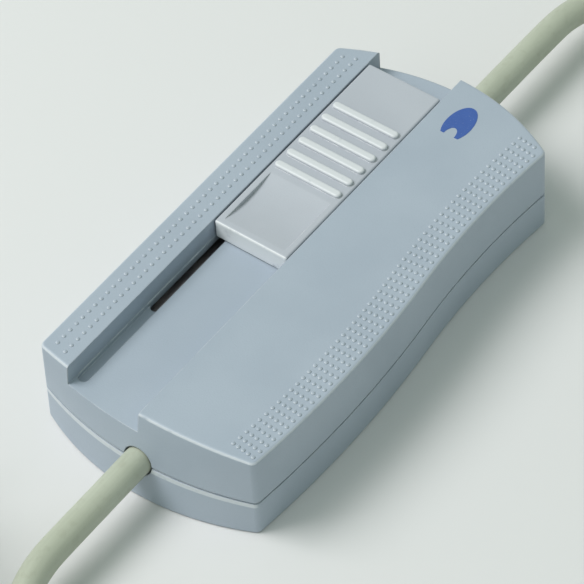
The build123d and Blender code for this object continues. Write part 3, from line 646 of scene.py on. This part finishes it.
cord_sheath, core_insulation, tie_paper = sheath(), insulation(), paper_tie()
print("cord finishes made")

# %% [markdown]
# ## Metals
#
# Screws are zinc plated, the pins nickel plated, the clips and tubes brass, the heat sink bent
# aluminium sheet. They share one recipe: rolled or turned streaks in the roughness, a patchy film
# on the colour and edges that are brighter. The length of the streaks along an axis tells sheet
# from turned stock.


# %% Mix a metal
def metal(name, colour, tarnish, roughness=0.30, streak=(1, 1, 1), depth=0.004):
    """A worked metal. Streak stretches its tool marks along an axis."""
    paint = Finish(name)
    film = paint.noise(5, 4).rise(0.42, 0.66)
    lines = paint.noise(0.14, 3, streak)
    spots = paint.noise(0.8, 3).rise(0.62, 0.74)
    bright = paint.edges(0.12)
    tone = paint.mix(film * 0.5, colour, tarnish)
    tone = paint.mix(spots * 0.35, tone, darker(tarnish, 0.3))
    tone = paint.mix(bright * 0.6, tone, lighter(colour, 0.3))
    shine = roughness + (lines - 0.5) * 0.25 + film * 0.10 + spots * 0.12 - bright * 0.06
    normal = paint.bump(lines, depth, paint.soft_edges(0.08))
    return paint.surface(tone, shine, normal, Metallic=1.0)


screw_zinc = metal("screw_zinc", (0.62, 0.64, 0.66), (0.50, 0.49, 0.42), 0.30, (1, 1, 4))
sheet_steel = metal("tinned_sheet", (0.60, 0.60, 0.59), (0.44, 0.43, 0.40), 0.34, (9, 1, 1))
pin_nickel = metal("pin_nickel", (0.70, 0.67, 0.61), (0.64, 0.60, 0.53), 0.20, (9, 1, 1))
clip_brass = metal("clip_brass", (0.72, 0.52, 0.22), (0.46, 0.32, 0.15), 0.28, (6, 1, 1))
sink_aluminium = metal("sink_aluminium", (0.74, 0.75, 0.76), (0.58, 0.59, 0.60), 0.36, (12, 1, 1))
cap_nickel = metal("fuse_cap_nickel", (0.72, 0.70, 0.66), (0.58, 0.55, 0.50), 0.22, (1, 1, 1))
wire_tin = metal("fuse_wire_tin", (0.66, 0.66, 0.66), (0.48, 0.48, 0.48), 0.30, (9, 1, 1))
enamelled_copper = metal("enamelled_copper", (0.66, 0.23, 0.10), (0.48, 0.15, 0.06), 0.24)
print("metals made")

# %% [markdown]
# ## The board and what stands on it
#
# The board is pressed paper laminate: brown, slightly see-through at its edges, with etched copper
# under it. Each part gets the marks by which one knows it: coloured rings on resistors, a ring on
# the trigger diode, a plain tinned tab on the power switch, smooth coloured boxes for the
# capacitors.


# %% Mix the board's laminate
def laminate(name, colour, copper=False):
    """Pressed paper laminate, with etched copper on its underside if there is any."""
    paint = Finish(name)
    fibre = paint.noise(0.7, 4, (4, 1, 1))
    mottle = paint.noise(7, 3).rise(0.35, 0.65)
    tone = paint.mix(mottle * 0.5, colour, darker(colour, 0.25))
    tone = paint.mix(fibre.rise(0.55, 0.75) * 0.3, tone, lighter(colour, 0.25))
    shine, height, shown = 0.38 + fibre * 0.12, fibre * 0.3, 0.0
    if copper:
        settings = {"feature": "DISTANCE_TO_EDGE"}
        gaps = paint.node("ShaderNodeTexVoronoi", settings, {"Vector": paint.place, "Scale": 0.16})
        shown = gaps.rise(0.055, 0.075) * (-paint.facing("Z")).rise(0.5, 0.9)
        tone = paint.mix(shown, tone, (0.44, 0.40, 0.14))
        shine, height = shine - shown * 0.12, height + shown
    normal = paint.bump(height, 0.035, paint.soft_edges(0.12))
    return paint.surface(tone, shine, normal, Metallic=shown * 0.6 if copper else 0.0)


board_laminate = laminate("board_brown_laminate", (0.300, 0.165, 0.062), True)
track_laminate = laminate("track_brown_laminate", (0.190, 0.095, 0.040))
print("laminates made")

# %% Mix the printed carbon and the fired ferrite
track_y, wiper_pitch = 18.2, 1.7


def carbon_track():
    paint = Finish("track_printed_carbon")
    grit = paint.noise(0.12, 3)
    grooves = abs(paint.y - track_y).wrap(wiper_pitch).rise(0.1, 0.4)
    wiped = (grooves * paint.noise(4, 2, (9, 1, 1))).rise(0.2, 0.7)
    tone = paint.mix(wiped * 0.5, (0.014, 0.014, 0.014), (0.050, 0.050, 0.052))
    return paint.surface(tone, 0.55 + (grit - 0.5) * 0.3 - wiped * 0.2, paint.bump(grit, 0.01))


def fired_ferrite():
    paint = Finish("fired_ferrite")
    grit = paint.noise(0.25, 4)
    chips = paint.edges(0.5) * paint.noise(1.2, 3).rise(0.5, 0.62)
    tone = paint.mix(grit, (0.020, 0.020, 0.022), (0.065, 0.063, 0.062))
    tone = paint.mix(chips * 0.5, tone, (0.13, 0.13, 0.13))
    return paint.surface(tone, 0.52 + grit * 0.2, paint.bump(grit, 0.03, paint.soft_edges(0.3)))


track_carbon, choke_ferrite = carbon_track(), fired_ferrite()
print("board finishes made")

# %% [markdown]
# A part with leads is one CAD node, so its finish has to know where plastic ends and metal begins.
# A mask along one axis does that, since bodies sit square on the board: beyond so many millimetres
# from the body's middle, the surface is tinned wire.


# %% Mix the finishes of the small parts
def leaded(name, colour, distance, reach, bands=(), roughness=0.30, depth=0.006):
    """A small part: a lacquered body with coloured bands, and tinned leads beyond its reach.

    distance takes the finish and gives millimetres from the middle of the body.
    """
    paint = Finish(name)
    away = distance(paint)
    grain = paint.noise(0.35, 3)
    lead = abs(away).past(reach, 0.04)
    tone = paint.mix(grain.rise(0.4, 0.7) * 0.2, colour, darker(colour, 0.3))
    for middle, width, band in bands:
        inside = 1 - abs(away - middle).past(width / 2, 0.05)
        tone = paint.mix(inside, tone, band)
    tone = paint.mix(lead, tone, (0.60, 0.60, 0.58))
    normal = paint.bump(grain, depth, paint.soft_edges(0.15))
    return paint.surface(tone, roughness + (grain - 0.5) * 0.15, normal, Metallic=lead)


resistor_y, diac_x, capacitor_z = 0.4, -18.0, 10.5
resistor_bands = [
    (-2.1, 0.55, (0.15, 0.050, 0.020)),
    (-1.1, 0.50, (0.015, 0.015, 0.015)),
    (-0.2, 0.50, (0.60, 0.160, 0.020)),
    (1.9, 0.55, (0.50, 0.340, 0.060)),
]
diac_bands = [(-1.4, 0.6, (0.02, 0.02, 0.03))]
yellow_bands = [(2.6, 0.3, (0.45, 0.26, 0.02))]
green_bands = [(1.2, 0.25, (0.02, 0.09, 0.03))]
resistor_lacquer = leaded(
    "resistor_lacquer", (0.62, 0.47, 0.29), lambda p: p.y - resistor_y, 3.1, resistor_bands
)
diac_paint = leaded(
    "diac_blue_glass", (0.06, 0.14, 0.36), lambda p: p.x - diac_x, 2.1, diac_bands, 0.15
)
film_yellow = leaded(
    "capacitor_yellow", (0.66, 0.40, 0.025), lambda p: p.z - capacitor_z, 4.6, yellow_bands
)
film_green = leaded(
    "capacitor_green", (0.030, 0.150, 0.050), lambda p: p.z - capacitor_z, 4.6, green_bands
)
triac_tab_y, triac_legs_y, triac_plate_z = -12.64, -3.64, 9.0


def power_switch():
    """Black epoxy between a tinned tab at one end and tinned legs at the other."""
    paint = Finish("triac_epoxy")
    tab = 1 - paint.y.past(triac_tab_y, 0.02)
    low = 1 - paint.z.past(triac_plate_z, 0.02)
    tinned = (tab * low).larger(paint.y.past(triac_legs_y, 0.02))
    grit = paint.noise(0.22, 3)
    tone = paint.mix(grit, (0.016, 0.016, 0.017), (0.034, 0.034, 0.035))
    tone = paint.mix(tinned, tone, (0.60, 0.59, 0.56))
    normal = paint.bump(grit, 0.012, paint.soft_edges(0.12))
    return paint.surface(tone, 0.50 - tinned * 0.16 + grit * 0.08, normal, Metallic=tinned)


triac_epoxy = power_switch()


def clear_tube():
    """Clear glass with a faint film of dust."""
    paint = Finish("fuse_clear_glass")
    film = paint.noise(1.5, 4).rise(0.45, 0.7)
    tone = paint.mix(film * 0.1, (0.95, 0.98, 0.98), (0.75, 0.76, 0.74))
    return paint.surface(tone, 0.03 + film * 0.12, Transmission_Weight=0.92, IOR=1.47)


fuse_glass = clear_tube()
print("small parts' finishes made")

# %% Give every CAD part its finish
finishes = {
    "casing": casing_plastic,
    "slider": slider_plastic,
    "cord": cord_sheath,
    "plug": plug_plastic,
    "pin_sleeve": sleeve_plastic,
    "pin_metal": pin_nickel,
    "tie": tie_paper,
    "clamp": clamp_plastic,
    "terminal_block": terminal_plastic,
    "core_insulation": core_insulation,
    "screw_steel": screw_zinc,
    "track_steel": sheet_steel,
    "track_plate": track_laminate,
    "track_carbon": track_carbon,
    "carriage": carriage_plastic,
    "contact_brass": clip_brass,
    "board": board_laminate,
    "heatsink": sink_aluminium,
    "triac_case": triac_epoxy,
    "ferrite": choke_ferrite,
    "winding": enamelled_copper,
    "capacitor_yellow": film_yellow,
    "capacitor_green": film_green,
    "diac_glass": diac_paint,
    "resistor_body": resistor_lacquer,
    "fuse_glass": fuse_glass,
    "fuse_wire": wire_tin,
    "fuse_caps": cap_nickel,
}
for node in nodes.values():
    for slot in node.material_slots:
        slot.material = finishes[slot.material.name]
for cord in (mains_cord, lamp_cord):
    cord.data.materials.append(cord_sheath)
print(f"{len(nodes)} CAD parts have one of {len(finishes)} finishes")

# %% [markdown]
# ## The floor's and the sky's own finish
#
# The floor is matt and pale. To the camera, and in reflections, the sky is white; to everything
# else it is a plain light grey with a touch of green, which tints the sides that the lamps don't
# reach.

# %% Finish the floor and light the scene
floor_paint = Finish("floor_pale")
floor_tone = floor_paint.mix(
    floor_paint.noise(900, 2) * 0.2, (0.80, 0.785, 0.79), (0.76, 0.745, 0.75)
)
floor_mesh.materials.append(floor_paint.surface(floor_tone, 0.7))

sky_light, sky_colour = 0.40, (0.82, 1.0, 0.90, 1.0)
sky_tree = Tree(sky.node_tree)
sky.node_tree.nodes.clear()
seen = sky_tree.node("ShaderNodeLightPath", out="Is Camera Ray")
glossy = sky_tree.node("ShaderNodeLightPath", out="Is Glossy Ray")
through = sky_tree.node("ShaderNodeLightPath", out="Is Transmission Ray")
white = (seen + glossy + through).smaller(1.0)
dim = sky_tree.node("ShaderNodeBackground", sockets={0: sky_colour, 1: sky_light})
plain = sky_tree.node("ShaderNodeBackground", sockets={0: (1.0, 1.0, 1.0, 1.0), 1: 1.0})
either = sky_tree.node("ShaderNodeMixShader", sockets={0: white, 1: dim, 2: plain})
sky_tree.node("ShaderNodeOutputWorld", sockets={"Surface": either})


def softbox(name, place, size, power):
    """A square lamp at a place in metres, turned to the dimmer."""
    data = bpy.data.lights.new(name, "AREA")
    data.size, data.energy = size, power
    lamp = bpy.data.objects.new(name, data)
    place = Vector(place)
    turned = (-place).to_track_quat("-Z", "Y").to_matrix().to_4x4()
    lamp.matrix_world = Matrix.Translation(place) @ turned
    bpy.context.scene.collection.objects.link(lamp)


softbox("key", (-0.55, 0.80, 1.35), 0.9, 19.5)
softbox("fill", (-1.5, 0.3, 0.8), 1.2, 2.1)
print("floor, sky and two softboxes")

# %% [markdown]
# ## Shapes that repeat
#
# The casing carries two rows of dots along its straight rail and short cross rows of dots along its
# waved edge, and the choke is wound with dozens of turns of wire. Geometry Nodes are the tool for
# that: one little dome repeated along a line, or one outline carried along it, with every size a
# named number. A recipe is such a tree; serve runs it on an object and keeps the result as a plain
# mesh.


# %% Write a recipe
class Recipe(Tree):
    """A Geometry Nodes tree with named sizes."""

    def __init__(self, name, **sizes):
        group = bpy.data.node_groups.new(name, "GeometryNodeTree")
        super().__init__(group)
        face = group.interface
        face.new_socket("Geometry", in_out="INPUT", socket_type="NodeSocketGeometry")
        self.ids = {}
        for label, value in sizes.items():
            kind = "NodeSocketInt" if isinstance(value, int) else "NodeSocketFloat"
            size = face.new_socket(label, in_out="INPUT", socket_type=kind)
            size.default_value = value
            self.ids[label] = size.identifier
        face.new_socket("Geometry", in_out="OUTPUT", socket_type="NodeSocketGeometry")
        self.entry = group.nodes.new("NodeGroupInput")

    def size(self, label):
        return Wire(self, self.entry.outputs[label])

    def vector(self, x=0.0, y=0.0, z=0.0):
        return self.node("ShaderNodeCombineXYZ", sockets={"X": x, "Y": y, "Z": z})

    def circle(self, sides, radius):
        sockets = {"Resolution": sides, "Radius": radius}
        return self.node("GeometryNodeCurvePrimitiveCircle", sockets=sockets)

    def sweep(self, line, section, **sockets):
        """Carries a section along a line and closes both ends."""
        sockets = {0: line, "Profile Curve": section, "Fill Caps": True, **sockets}
        return self.node("GeometryNodeCurveToMesh", sockets=sockets)

    def copies(self, shape, points, **sockets):
        """Sets a copy of a shape on each point."""
        sockets = {"Points": points, "Instance": shape, **sockets}
        return self.node("GeometryNodeInstanceOnPoints", sockets=sockets)

    def flattened(self, shape, share):
        """A shape pressed down to a share of its height."""
        sockets = {0: shape, "Scale": self.vector(1.0, 1.0, share)}
        return self.node("GeometryNodeTransform", sockets=sockets)

    def end(self, geometry, finish):
        """Makes real copies, gives them their finish and sends them out."""
        real = self.node("GeometryNodeRealizeInstances", sockets={0: geometry})
        smooth = self.node("GeometryNodeSetShadeSmooth", sockets={0: real})
        done = self.node("GeometryNodeSetMaterial", sockets={0: smooth, "Material": finish})
        self.tree.links.new(done.socket, self.tree.nodes.new("NodeGroupOutput").inputs[0])


# %% Run a recipe
def serve(recipe, name, start, body, slot, **sizes):
    """Runs a recipe on a start object and keeps the result as a plain mesh, riding on a body."""
    bpy.context.scene.collection.objects.link(start)
    run = start.modifiers.new(name, "NODES")
    run.node_group = recipe.tree
    for label, value in sizes.items():
        run[recipe.ids[label]] = value
    bpy.context.view_layer.update()
    depsgraph = bpy.context.evaluated_depsgraph_get()
    mesh = bpy.data.meshes.new_from_object(start.evaluated_get(depsgraph))
    start.modifiers.remove(run)
    bpy.data.objects.remove(start)
    piece = bpy.data.objects.new(name, mesh)
    bpy.context.scene.collection.objects.link(piece)
    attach(piece, body)
    print(f"{name}: {len(mesh.polygons)} faces")
    return piece


def empty_start():
    """A start for a recipe that needs none."""
    return bpy.data.objects.new("empty_start", bpy.data.meshes.new("empty_start"))

# %% [markdown]
# ### The dots
#
# Each dot is a low dome, cast in a pit that was drilled in the mould: under a millimetre wide and a
# quarter of one high. One recipe serves both places. It steps along a line and sets a cross row of
# points at each step, drops the points too near the casing's round ends, and sets a dome on each
# that is left. An end is an arc, so its test is a circle: the arc's own, drawn in by a margin. The
# places of the casing's corners, of its wave and of its bulging ends are the CAD model's own
# numbers.

# %% Write the recipe for dots
casing_top = 22.4 * mm
near_x, cross_x, far_x = -51.4, 6.6, 50.6
waved_y, middle_y, half_end = -26.7, 0.8, 27.5
bow_out, bow_in = 1.6, 1.2138
near_bulge, far_bulge, end_margin = 2.8, 7.4, 1.6


def arc_radius(bulge):
    """The radius of an end that stands out so far between its corners."""
    return (half_end**2 + bulge**2) / (2 * bulge)


near_arc, far_arc = arc_radius(near_bulge), arc_radius(far_bulge)
dots = Recipe(
    "dots_along_a_line",
    Pitch=2.0 * mm,
    Inset=1.5 * mm,
    Step=1.35 * mm,
    Rows=5,
    Radius=0.48 * mm,
    Rise=0.28 * mm,
    Stagger=0.0,
    MiddleY=middle_y * mm,
    NearCentre=(near_x - near_bulge + near_arc) * mm,
    NearReach=(near_arc - end_margin) * mm,
    FarCentre=(far_x + far_bulge - far_arc) * mm,
    FarReach=(far_arc - end_margin) * mm,
)
steps = dots.node(
    "GeometryNodeCurveToPoints",
    {"mode": "LENGTH"},
    {0: dots.size("Geometry"), "Length": dots.size("Pitch")},
)
tangent = Wire(dots, steps.socket.node.outputs["Tangent"])
square_on = dots.node(
    "FunctionNodeAlignRotationToVector", {"axis": "X", "pivot_axis": "Z"}, {"Vector": tangent}
)
row = dots.node(
    "GeometryNodeMeshLine",
    sockets={
        "Count": dots.size("Rows"),
        "Start Location": dots.vector(y=dots.size("Inset")),
        "Offset": dots.vector(x=dots.size("Stagger"), y=dots.size("Step")),
    },
)
rows = dots.copies(row, steps, Rotation=square_on)
spots = dots.node("GeometryNodeRealizeInstances", sockets={0: rows})
place = dots.node("ShaderNodeSeparateXYZ", sockets={0: dots.node("GeometryNodeInputPosition")})
x, y = (Wire(dots, output) for output in place.socket.node.outputs[:2])
from_middle = (y - dots.size("MiddleY")) ** 2.0
for end, way in (("Near", -1.0), ("Far", 1.0)):
    outward = ((x - dots.size(end + "Centre")) * way).larger(0.0)
    away = (outward**2.0 + from_middle) ** 0.5
    too_far = away > dots.size(end + "Reach")
    spots = dots.node("GeometryNodeDeleteGeometry", sockets={0: spots, "Selection": too_far})
ball = dots.node("GeometryNodeMeshUVSphere", sockets={0: 10, 1: 6, 2: dots.size("Radius")})
dome = dots.flattened(ball, dots.size("Rise") / dots.size("Radius"))
dots.end(dots.copies(dome, spots), casing_plastic)
print(f"the casing's ends are arcs of {near_arc:.0f} and {far_arc:.0f} mm")

# %% Set the dots on the rail and along the wave
dotted_from, dotted_to, rail_edge = -54.0, 56.0, 21.0


def waved_edge(x):
    """How far to the side the casing's waved edge is, at x, in mm."""
    start, end, bow = (near_x, cross_x, -bow_out) if x < cross_x else (cross_x, far_x, bow_in)
    t = (2 * x - start - end) / (end - start)
    return waved_y + bow * (1 - t * t)


def line_on_top(name, edge):
    """A line on the casing's top, end to end, with edge(x) as its Y in mm."""
    count = 66
    stops = (dotted_from + (dotted_to - dotted_from) * i / count for i in range(count + 1))
    return drawn_line(name, [(x * mm, edge(x) * mm, casing_top) for x in stops], "POLY")


two_rows = {"Inset": 1.6 * mm, "Step": 2.8 * mm, "Rows": 2, "Stagger": 1.0 * mm}
serve(dots, "rail_dots", line_on_top("rail", lambda x: rail_edge), "casing", "casing", **two_rows)
serve(dots, "wave_dots", line_on_top("wave", waved_edge), "casing", "casing")

# %% [markdown]
# ### The printed mark
#
# A small blue lamp sign is pad printed at the bright end of the travel: the glass of a bulb, with
# the place of its cap left blank. Ink from a pad is a few hundredths of a millimetre thick, so the
# sign is a thin plate. Its outline is two half ellipses back to back, cut off square, with a third
# one as the notch.

# %% Cut the mark's outline
mark_at = Vector((46.6, -6.9))
mark_height, mark_sunk = 0.05 * mm, 0.02 * mm


def bulb_outline(half_width=3.05, front=5.6, rear=5.2, cut=3.6, notch=(2.4, 1.3)):
    """Points round a bulb's glass in mm, with its round end towards +X and a notch for its cap."""
    steps = 20
    open_angle = math.acos(-cut / rear)
    glass = [open_angle * i / steps for i in range(-steps, steps + 1)]
    outline = [
        ((front if math.cos(a) > 0 else rear) * math.cos(a), half_width * math.sin(a))
        for a in glass
    ]
    cap = [math.pi / 2 * i / steps for i in range(steps, -steps - 1, -1)]
    return outline + [(notch[0] * math.cos(a) - cut, notch[1] * math.sin(a)) for a in cap]


def plate(name, outline, bottom, height):
    """A flat plate with that outline, in metres, from bottom up."""
    work = bmesh.new()
    face = work.faces.new([work.verts.new((x, y, bottom)) for x, y in outline])
    grown = bmesh.ops.extrude_face_region(work, geom=[face])
    for vertex in grown["geom"]:
        if isinstance(vertex, bmesh.types.BMVert):
            vertex.co.z += height
    bmesh.ops.recalc_face_normals(work, faces=work.faces)
    mesh = bpy.data.meshes.new(name)
    work.to_mesh(mesh)
    work.free()
    return mesh


mark_points = [((mark_at.x + x) * mm, (mark_at.y + y) * mm) for x, y in bulb_outline()]
mark_plate = plate("bulb_mark", mark_points, casing_top - mark_sunk, mark_sunk + mark_height)
mark = bpy.data.objects.new("bulb_mark", mark_plate)
bpy.context.scene.collection.objects.link(mark)


# %% Print it on the casing
def printed_ink():
    """Blue ink that lies a little thin on the lumps of the grain."""
    paint = Finish("mark_blue_ink")
    grain = paint.noise(0.30, 3)
    thin = grain.rise(0.60, 0.78)
    tone = paint.mix(paint.noise(2, 3), (0.030, 0.092, 0.345), (0.040, 0.112, 0.395))
    tone = paint.mix(thin * 0.35, tone, casing_colour)
    return paint.surface(tone, 0.34 + grain * 0.2, paint.bump(grain, 0.015))


mark.data.materials.append(printed_ink())
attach(mark, "casing")
print(f"bulb_mark: {len(mark_points)} points round its outline")

# %% [markdown]
# ### The plug's strain relief
#
# Where the cord leaves the plug, a soft ribbed boot keeps it from kinking. It follows the cord's
# own last stretch, so it is made from the cord's centre line: a circle is carried along it, and its
# radius falls from the plug to the tip and dips between the ribs.

# %% Write the recipe for the boot
boot_length = 26.0 * mm
boot = Recipe(
    "ribbed_boot", RearRadius=5.0 * mm, TipRadius=3.75 * mm, Groove=0.55 * mm, Ribs=7, Sides=24
)
even = boot.node("GeometryNodeResampleCurve", sockets={0: boot.size("Geometry"), "Count": 150})
along = boot.node("GeometryNodeSplineParameter", out="Factor")
taper = boot.size("TipRadius") + (boot.size("RearRadius") - boot.size("TipRadius")) * along
wave_in = (along * boot.size("Ribs") * math.tau).sine() * 0.5 + 0.5
plain_ends = along.rise(0.04, 0.10) * (1 - along.rise(0.90, 0.96))
radius = taper - boot.size("Groove") * wave_in.rise(0.25, 0.75) * plain_ends
boot.end(boot.sweep(even, boot.circle(boot.size("Sides"), 1.0), Scale=radius), plug_plastic)
print(f"the boot takes the cord's last {boot_length / mm:.0f} mm")


# %% Fit the boot on the cord
def last_stretch(points, length):
    """The end of a line of points, as long as that."""
    kept, total = [points[-1]], 0.0
    for point in reversed(points[:-1]):
        total += (kept[-1] - point).length
        kept.append(point)
        if total >= length:
            break
    return kept[::-1]


into_plug = mains_line[-1] + Vector((1.5 * mm, 0, 0))
boot_points = last_stretch(mains_line, boot_length) + [into_plug]
plug_boot = serve(boot, "plug_boot", drawn_line("boot_line", boot_points, "POLY"), "casing", "plug")

# %% [markdown]
# ### Grips on the plug and the twist of the tie
#
# A plug is pulled out by its flat sides, so they carry short raised bars that grow longer as the
# body widens. One capsule, stretched a little more at each step, makes them all. The strap round
# the coil is closed by twisting its two ends, and a twist is a flat section carried along a line
# while it turns.

# %% Write the recipe for the grip bars
grips = Recipe(
    "grip_bars",
    Count=6,
    Pitch=2.1 * mm,
    FirstReach=3.6 * mm,
    Widening=1.05 * mm,
    Width=0.55 * mm,
    Rise=0.35 * mm,
)
unit_ends = {"Start": (0, -1, 0), "End": (0, 1, 0)}
unit_line = grips.node("GeometryNodeCurvePrimitiveLine", sockets=unit_ends)
unit_line = grips.node("GeometryNodeResampleCurve", sockets={0: unit_line, "Count": 14})
from_middle = abs(grips.node("GeometryNodeSplineParameter", out="Factor") * 2.0 - 1.0)
rounded = grips.size("Width") * (1.0 - from_middle**8.0 * 0.98) ** 0.5
capsule = grips.sweep(unit_line, grips.circle(12, 1.0), Scale=rounded)
low_bar = grips.flattened(capsule, grips.size("Rise") / grips.size("Width"))
places = grips.node(
    "GeometryNodeMeshLine",
    sockets={"Count": grips.size("Count"), "Offset": grips.vector(x=grips.size("Pitch"))},
)
reach = grips.size("FirstReach") + grips.size("Widening") * grips.node("GeometryNodeInputIndex")
grips.end(grips.copies(low_bar, places, Scale=grips.vector(1.0, reach, 1.0)), plug_plastic)

# %% Set the grip bars on the plug
plug_low, plug_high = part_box("plug_body")
plug_middle = (plug_low.y + plug_high.y) / 2
first_bar_x = -130.4 * mm
plug_faces = (("plug_grips_top", plug_high.z, 0.35), ("plug_grips_under", plug_low.z, 0.18))
for name, height, rise in plug_faces:
    grip = serve(grips, name, empty_start(), "casing", "plug", Rise=rise * mm)
    grip.data.transform(Matrix.Translation((first_bar_x, plug_middle, height)))

# %% Write the recipe for a twisted strip
twist = Recipe("twisted_strip", Width=2.6 * mm, Thickness=0.55 * mm, Twists=2.0)
smooth_line = twist.node(
    "GeometryNodeResampleCurve", sockets={0: twist.size("Geometry"), "Count": 60}
)
turned = twist.node("GeometryNodeSplineParameter", out="Factor") * twist.size("Twists") * math.tau
tilted = twist.node("GeometryNodeSetCurveTilt", sockets={0: smooth_line, "Tilt": turned})
flat_section = twist.node(
    "GeometryNodeCurvePrimitiveQuadrilateral",
    sockets={"Width": twist.size("Width"), "Height": twist.size("Thickness")},
)
twist.end(twist.sweep(tilted, flat_section), tie_paper)

# %% Twist the ends of the tie
tie_low, tie_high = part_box("coil_tie")
tie_top = Vector(((tie_low.x + tie_high.x) / 2, (tie_low.y + tie_high.y) / 2, tie_high.z)) / mm
twist_way = Vector((0.978, 0.208, 0.0))
twist_side = Vector((-0.208, 0.978, 0.0))


def over_the_strap(along, aside, above):
    """A point in metres, from the middle of the strap's top."""
    return (tie_top + twist_way * along + twist_side * aside + Vector((0, 0, above))) * mm


def tie_piece(name, places, **sizes):
    """A twisted strip through places over the strap."""
    line = drawn_line(name + "_line", [over_the_strap(*place) for place in places])
    return serve(twist, name, line, "casing", "tie", **sizes)


knot = [(-1.2, 0.0, 0.1), (0.4, 0.0, 0.9), (3.0, 0.0, 1.3), (7.5, 0.0, 1.0)]
flare = [(6.6, 0.0, 1.1), (8.4, 0.2, 1.1), (10.0, 1.3, 1.0), (11.4, 3.4, 0.5)]
tie_ends = [tie_piece("tie_twist", knot, Width=2.3 * mm, Thickness=0.8 * mm)]
for side, name in ((-1, "tie_end_1"), (1, "tie_end_2")):
    places = [(along, side * aside, above) for along, aside, above in flare]
    tie_ends.append(tie_piece(name, places, Twists=0.12 * side, Thickness=0.3 * mm))

# %% [markdown]
# ### The choke's wire
#
# The choke keeps the dimmer from disturbing a radio. It is a ferrite rod wound with three layers of
# enamelled copper. CAD holds its room with a plain barrel, and here each layer is one long spiral.
# The outer layer's two ends bend down to the board.

# %% Write the recipe for wound wire
winding = Recipe(
    "wound_wire", Radius=4.5 * mm, Length=17.0 * mm, Turns=19.0, Wire=0.42 * mm, Sides=8, PerTurn=22
)
spiral = winding.node(
    "GeometryNodeCurveSpiral",
    sockets={
        "Resolution": winding.size("PerTurn"),
        "Rotations": winding.size("Turns"),
        "Start Radius": winding.size("Radius"),
        "End Radius": winding.size("Radius"),
        "Height": winding.size("Length"),
    },
)
section = winding.circle(winding.size("Sides"), winding.size("Wire"))
winding.end(winding.sweep(spiral, section), enamelled_copper)

# %% Wind the choke
barrel_radius, barrel_x, layer_radius, layer_step = 5.0, 25.0, 4.55, 0.84
choke_low, choke_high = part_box("choke_winding")
choke_y = (choke_low.y + choke_high.y) / 2 / mm
choke_centre = Vector((barrel_x, choke_y, choke_high.z / mm - barrel_radius))
choke_half = 8.5


def wound_layer(name, radius, turns):
    """One layer of wire round the rod, with its length along X."""
    sizes = {"Radius": radius * mm, "Turns": float(turns)}
    layer = serve(winding, name, empty_start(), "casing", "winding", **sizes)
    stand = Matrix.Translation(choke_centre * mm) @ Matrix.Rotation(math.pi / 2, 4, "Y")
    layer.data.transform(stand @ Matrix.Translation((0, 0, -choke_half * mm)))
    return layer


layers = [
    wound_layer(f"choke_layer_{i + 1}", layer_radius - layer_step * i, 19 - i) for i in range(3)
]

# %% Bend its two ends down to the board
wire_run = Recipe("wire_run", Wire=0.42 * mm, Sides=8)
wire_section = wire_run.circle(wire_run.size("Sides"), wire_run.size("Wire"))
wire_run.end(wire_run.sweep(wire_run.size("Geometry"), wire_section), enamelled_copper)
board_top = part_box("circuit_board")[1].z / mm


def lead_line(side):
    """From the bottom of the outer layer, a quarter bend down to the board."""
    start = choke_centre + Vector((side * choke_half, 0, -layer_radius))
    bend = [(0.0, 0.0), (0.35, 0.03), (0.62, -0.16), (0.72, -0.45)]
    points = [start + Vector((0, side * y, z)) for y, z in bend]
    points.append(Vector((points[-1].x, points[-1].y, board_top)))
    return drawn_line("lead_line", [point * mm for point in points], "POLY")


for side, name in ((-1, "choke_lead_1"), (1, "choke_lead_2")):
    layers.append(serve(wire_run, name, lead_line(side), "casing", "winding"))

# %% [markdown]
# ## Say what rides on what
#
# Each cord rides on the casing and stands for its CAD solid. The mains cord ends in the plug, which
# lies on the coil with the boot behind it; the lamp cord ends bare, in two cores with crimped ends.

for cord in (mains_cord, lamp_cord):
    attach(cord, "casing")
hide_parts("mains_cord", "mains_cord_coil")
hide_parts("lamp_cord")
for layer in layers:
    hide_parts("choke_winding")

# %% Compare the dressed size with the CAD size
dressed_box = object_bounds()
for axis, a, b in zip("xyz", zip(*solid_box), zip(*dressed_box)):
    print(axis, [round(v / mm, 2) for v in a], "CAD", [round(v / mm, 2) for v in b], "dressed")
